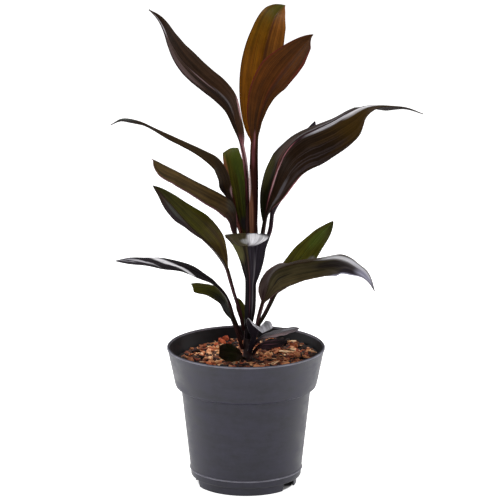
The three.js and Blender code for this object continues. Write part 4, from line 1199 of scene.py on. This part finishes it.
def blade_width(leaf, share):
    """How wide the blade is at a share of the leaf's length, as a share of its greatest width."""
    blade_share = min(1, max(0, (share - leaf["blade"]) / (1 - leaf["blade"]))) * leaf.get("trim", 1)
    widest, narrowing = leaf["widest"], leaf["narrowing"]
    rise = (blade_share / widest) ** (narrowing * widest)
    fall = ((1 - blade_share) / (1 - widest)) ** (narrowing * (1 - widest))
    return rise * fall


def half_widths(leaf, share):
    """Half-widths of the leaf's left and right half there, no less than its stalk's or its tip's."""
    stalk = read_along(leaf["stalk"], share) * MM if "stalk" in leaf else PETIOLE_HALF_WIDTH
    tip = PETIOLE_HALF_WIDTH if "trim" in leaf else TIP_HALF_WIDTH
    least = mixed(stalk, tip, smooth_step(share, *TAPER_SHARES))
    blade = blade_width(leaf, share) * MM
    eases = [read_along(leaf.get(side, EVEN), share) for side in ("ease_left", "ease_right")]
    return [max(least, half * ease * blade) for half, ease in zip(leaf["halves"], eases)]


def leaf_frame(curve, leaf, share):
    """The midrib's place there, with the directions to the leaf's left and out of its upper face."""
    turned = smooth_step(share, 0, FOOT_TURN_SHARE)
    heading = math.radians(mixed(leaf["node"][0], leaf["heading"], turned))
    middle, forward = point_at(curve, share)
    side = Vector((-math.sin(heading), math.cos(heading), 0))
    up = forward.cross(side).normalized()
    side = up.cross(forward).normalized()
    roll = math.radians(read_along(leaf["roll"], share))
    left = side * math.cos(roll) + up * math.sin(roll)
    face = up * math.cos(roll) - side * math.sin(roll)
    return middle, left, face


def leaf_section(curve, leaf, share, phase):
    """One cross-section: places over the upper face from left to right, then back underneath."""
    middle, left, face = leaf_frame(curve, leaf, share)
    opened = smooth_step(share, leaf["blade"] - OPENING_BEFORE, leaf["blade"] + OPENING_AFTER)
    fold = math.radians(read_along(leaf["fold"], share) * opened)
    channel = mixed(CLASP_CHANNEL, PETIOLE_CHANNEL, smooth_step(share, *CLASP_SHARES))
    arch = math.radians(mixed(channel, read_along(leaf.get("arch", USUAL_ARCH), share), opened))
    rib = mixed(PETIOLE_THICKNESS, RIB_THICKNESS * (1 - RIB_FADE * share), opened)
    margin = mixed(PETIOLE_MARGIN, BLADE_THICKNESS, opened)
    halves = half_widths(leaf, share)
    ripple = RIPPLE * opened * math.sin(2 * math.pi * (RIPPLE_COUNT * share + phase))
    upper, lower = [], []
    for step in range(LEAF_COLUMNS, -LEAF_COLUMNS - 1, -1):
        out = (abs(step) / LEAF_COLUMNS) ** MARGIN_CROWDING
        sign = (step > 0) - (step < 0)
        half = halves[0 if step > 0 else 1]
        reach = half * out
        turn = fold + arch * out
        slope = fold + arch * out / 2
        broad = opened * min(1, half / FULL_RELIEF_WIDTH)
        relief = PLEAT_HEIGHT * broad * math.sin(2 * math.pi * PLEATS * out) * (1 - out)
        relief += ripple * broad * out * out * sign
        groove = GROOVE_DEPTH * broad * math.exp(-(reach / GROOVE_WIDTH) ** 2)
        thick = mixed(rib, margin, out ** THINNING)
        top = middle + left * (sign * reach * math.cos(slope)) + face * (reach * math.sin(slope) + relief)
        tilt = sign * turn * min(1, reach / FULL_TILT_REACH)
        lower.append(top + left * (math.sin(tilt) * thick) - face * (math.cos(tilt) * thick))
        upper.append(top - face * groove)
    return upper + lower[::-1]


def leaf_shape(leaf):
    """The whole leaf: its cross-sections as one closed sleeve, closer together towards the tip."""
    curve = midrib_curve(leaf)
    rows = SMALL_LEAF_ROWS if leaf.get("small") else LEAF_ROWS
    phase = random.random()
    sections = []
    for row in range(rows + 1):
        share = 1 - (1 - row / rows) ** TIP_CROWDING
        sections.append(leaf_section(curve, leaf, share, phase))
    return closed_sleeve(4 * LEAF_COLUMNS + 2, rows, lambda column, row: sections[row][column])


def sheet_places(tree):
    """Where a point lies on its leaf: across from -1 at the right margin to 1 at the left one, along
    from 0 at the foot to 1 at the tip, and below, from 0 on the upper face to 1 on the underside."""
    sheet = add_node(tree, "ShaderNodeUVMap", uv_map="leaf")
    parts = add_node(tree, "ShaderNodeSeparateXYZ", {"Vector": sheet})
    around = add_node(tree, "ShaderNodeMath", {
        0: parts.outputs["X"], 1: 2, 2: -1,
    }, operation="MULTIPLY_ADD")
    folded = add_node(tree, "ShaderNodeMath", {0: around}, operation="ABSOLUTE")
    across = add_node(tree, "ShaderNodeMath", {0: folded, 1: 2, 2: -1}, operation="MULTIPLY_ADD")
    crowded = add_node(tree, "ShaderNodeMath", {0: 1, 1: parts.outputs["Y"]}, operation="SUBTRACT")
    rest = add_node(tree, "ShaderNodeMath", {0: crowded, 1: TIP_CROWDING}, operation="POWER")
    along = add_node(tree, "ShaderNodeMath", {0: 1, 1: rest}, operation="SUBTRACT")
    below = add_node(tree, "ShaderNodeMapRange", {"Value": around, "From Min": -0.01, "From Max": 0.01})
    return across, along, below


def two_toned(tree, leaf, across, along):
    """The blade's own colour: each half drifts from stalk to tip through its four colours."""
    blade = leaf["blade"]
    spots = (max(0, blade - COLOUR_LEAD), blade + COLOUR_LAG, mixed(blade, 1, 0.5), 1)
    halves = []
    for names in (leaf.get("right", leaf["left"]), leaf["left"]):
        ramp = add_node(tree, "ShaderNodeValToRGB", {"Fac": along})
        set_stops(ramp, [(spot, LEAF_COLOURS[name]) for spot, name in zip(spots, names.split())])
        halves.append(ramp)
    leftness = add_node(tree, "ShaderNodeMapRange", {
        "Value": across, "From Min": -HALF_BLEND, "From Max": HALF_BLEND,
    })
    return add_node(tree, "ShaderNodeMix", {
        "Factor": leftness, "A": halves[0], "B": halves[1],
    }, data_type="RGBA")


def covered(tree, colour, cover, name):
    """A colour with another of the leaf's colours over it, where and as far as cover says."""
    return add_node(tree, "ShaderNodeMix", {
        "Factor": cover, "A": colour, "B": srgb(LEAF_COLOURS[name]),
    }, data_type="RGBA")


def marked(tree, leaf, colour, flat_place, streaks):
    """The leaf's soft-edged marks over its colour, drawn out into streaks along its veins: its own
    markings, and painted highlights and sheen in the pale colours.
    """
    streaky = add_node(tree, "ShaderNodeMapRange", {
        "Value": streaks, "From Min": STREAK_SPAN[0], "From Max": STREAK_SPAN[1],
        "To Min": MARK_GROUND,
    }, interpolation_type="SMOOTHSTEP")
    for name, share, side, reach_along, reach_across, strength, *slant in leaf.get("patches", []):
        spot = add_node(tree, "ShaderNodeMapping", {
            "Vector": flat_place, "Location": (side, share, 0), "Scale": (reach_across, reach_along, 1),
            "Rotation": (0, 0, math.radians(sum(slant))),
        }, vector_type="TEXTURE")
        ball = add_node(tree, "ShaderNodeTexGradient", {"Vector": spot}, gradient_type="SPHERICAL")
        shown = add_node(tree, "ShaderNodeMapRange", {
            "Value": ball.outputs["Fac"], "From Max": MARK_EDGE, "To Max": strength,
        }, interpolation_type="SMOOTHSTEP")
        cover = add_node(tree, "ShaderNodeMath", {0: shown, 1: streaky}, operation="MULTIPLY")
        colour = covered(tree, colour, cover, name)
    return colour


def rib_line(tree, leaf, outward, along):
    """Where the midrib's own colour shows: a narrow line on the blade that fades towards the tip."""
    line = add_node(tree, "ShaderNodeMapRange", {
        "Value": outward, "From Min": RIB_SHARES[0], "From Max": RIB_SHARES[1],
    })
    on_blade = add_node(tree, "ShaderNodeMapRange", {
        "Value": along, "From Min": leaf["blade"] - COLOUR_LEAD, "From Max": leaf["blade"],
        "To Max": RIB_STRENGTH,
    })
    fading = add_node(tree, "ShaderNodeMapRange", {
        "Value": along, "From Min": RIB_END[0], "From Max": RIB_END[1],
    })
    shown = add_node(tree, "ShaderNodeMath", {0: line, 1: on_blade}, operation="MULTIPLY")
    return add_node(tree, "ShaderNodeMath", {0: shown, 1: fading}, operation="MULTIPLY")


def living_leaf(leaf):
    """A live leaf with its natural wax: satin, with veins about 1.3 mm apart that run out slantwise
    from the midrib, streaks of lighter and darker tissue along it, and colour that drifts from stalk
    to tip. The underside is duller."""
    material, tree = new_surface("living_" + leaf["name"])
    across, along, below = sheet_places(tree)
    outward = add_node(tree, "ShaderNodeMath", {0: across}, operation="ABSOLUTE")
    flat_place = add_node(tree, "ShaderNodeCombineXYZ", {"X": across, "Y": along})
    place = add_node(tree, "ShaderNodeTexCoord")
    blotch = add_node(tree, "ShaderNodeTexNoise", {
        "Vector": place.outputs["Object"], "Scale": 1 / BLOTCH_SIZE, "Detail": 4, "Roughness": 0.6,
    })
    drawn_out = add_node(tree, "ShaderNodeMapping", {
        "Vector": flat_place, "Location": (0, 0, BAND_OFFSET * LEAVES.index(leaf)), "Scale": BAND_COUNTS,
    })
    bands = add_node(tree, "ShaderNodeTexNoise", {
        "Vector": drawn_out, "Scale": 1, "Detail": 4, "Roughness": 0.62,
    })
    drift = add_node(tree, "ShaderNodeMath", {
        0: bands, 1: BAND_DRIFT, 2: along,
    }, operation="MULTIPLY_ADD")
    drifted = add_node(tree, "ShaderNodeMath", {0: drift, 1: BAND_DRIFT / 2}, operation="SUBTRACT")
    slanted = add_node(tree, "ShaderNodeMath", {
        0: along, 1: -VEIN_SLANT, 2: blotch,
    }, operation="MULTIPLY_ADD")
    lane = add_node(tree, "ShaderNodeMath", {
        0: outward, 1: VEIN_COUNT, 2: slanted,
    }, operation="MULTIPLY_ADD")
    phase = add_node(tree, "ShaderNodeMath", {0: lane, 1: 2 * math.pi}, operation="MULTIPLY")
    veins = add_node(tree, "ShaderNodeMath", {0: phase}, operation="SINE")
    lane_place = add_node(tree, "ShaderNodeCombineXYZ", {"X": lane, "Y": drift, "Z": across})
    streaks = add_node(tree, "ShaderNodeTexNoise", {
        "Vector": lane_place, "Scale": STREAK_SCALE, "Detail": 3, "Roughness": 0.7,
    })
    shade = add_node(tree, "ShaderNodeMapRange", {
        "Value": veins, "From Min": -1, "To Min": VEIN_SHADES[0], "To Max": VEIN_SHADES[1],
    })
    for pattern, depth in ((bands, BAND_DEPTH), (streaks, STREAK_DEPTH), (blotch, BLOTCH_DEPTH)):
        level = add_node(tree, "ShaderNodeMapRange", {
            "Value": pattern, "From Min": NOISE_SPAN[0], "From Max": NOISE_SPAN[1],
            "To Min": 1 - depth, "To Max": 1 + depth,
        })
        shade = add_node(tree, "ShaderNodeMath", {0: shade, 1: level}, operation="MULTIPLY")
    colour = add_node(tree, "ShaderNodeVectorMath", {
        0: two_toned(tree, leaf, across, drifted), "Scale": shade,
    }, operation="SCALE")
    streak_tops = add_node(tree, "ShaderNodeMapRange", {
        "Value": streaks, "From Min": STREAK_TOPS[0], "From Max": STREAK_TOPS[1],
        "To Max": STREAK_STRENGTH,
    })
    edge = add_node(tree, "ShaderNodeMapRange", {
        "Value": outward, "From Min": MARGIN_SHARES[0], "From Max": MARGIN_SHARES[1],
    })
    colour = covered(tree, colour, streak_tops, leaf["streak"])
    colour = covered(tree, colour, edge, leaf["margin"])
    colour = covered(tree, colour, rib_line(tree, leaf, outward, along), leaf["rib"])
    colour = marked(tree, leaf, colour, flat_place, streaks)
    if "under" in leaf:
        colour = covered(tree, colour, below, leaf["under"])
    gloss = add_node(tree, "ShaderNodeMapRange", {
        "Value": bands, "From Min": NOISE_SPAN[0], "From Max": NOISE_SPAN[1],
        "To Min": LEAF_ROUGHNESS[0], "To Max": LEAF_ROUGHNESS[1],
    })
    duller = add_node(tree, "ShaderNodeMath", {
        0: below, 1: UNDERSIDE_DULLNESS, 2: gloss,
    }, operation="MULTIPLY_ADD")
    relief = add_node(tree, "ShaderNodeBump", {"Height": veins, "Strength": 0.35, "Distance": 0.12 * MM})
    finish_surface(tree, {
        "Base Color": colour, "Roughness": duller, "IOR": CUTICLE_IOR, "Specular IOR Level": 0.05,
        "Normal": relief,
    })
    return material


for leaf in LEAVES:
    piece = add_object(leaf["name"] + "_blade", place_mesh(leaf_shape(leaf), leaf["name"] + "_blade"))
    piece.data.materials.append(living_leaf(leaf))
    piece.data.shade_smooth()
    piece.data.set_sharp_from_angle(angle=LEAF_CREASE)
    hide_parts(leaf["name"])
    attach(piece, "root")
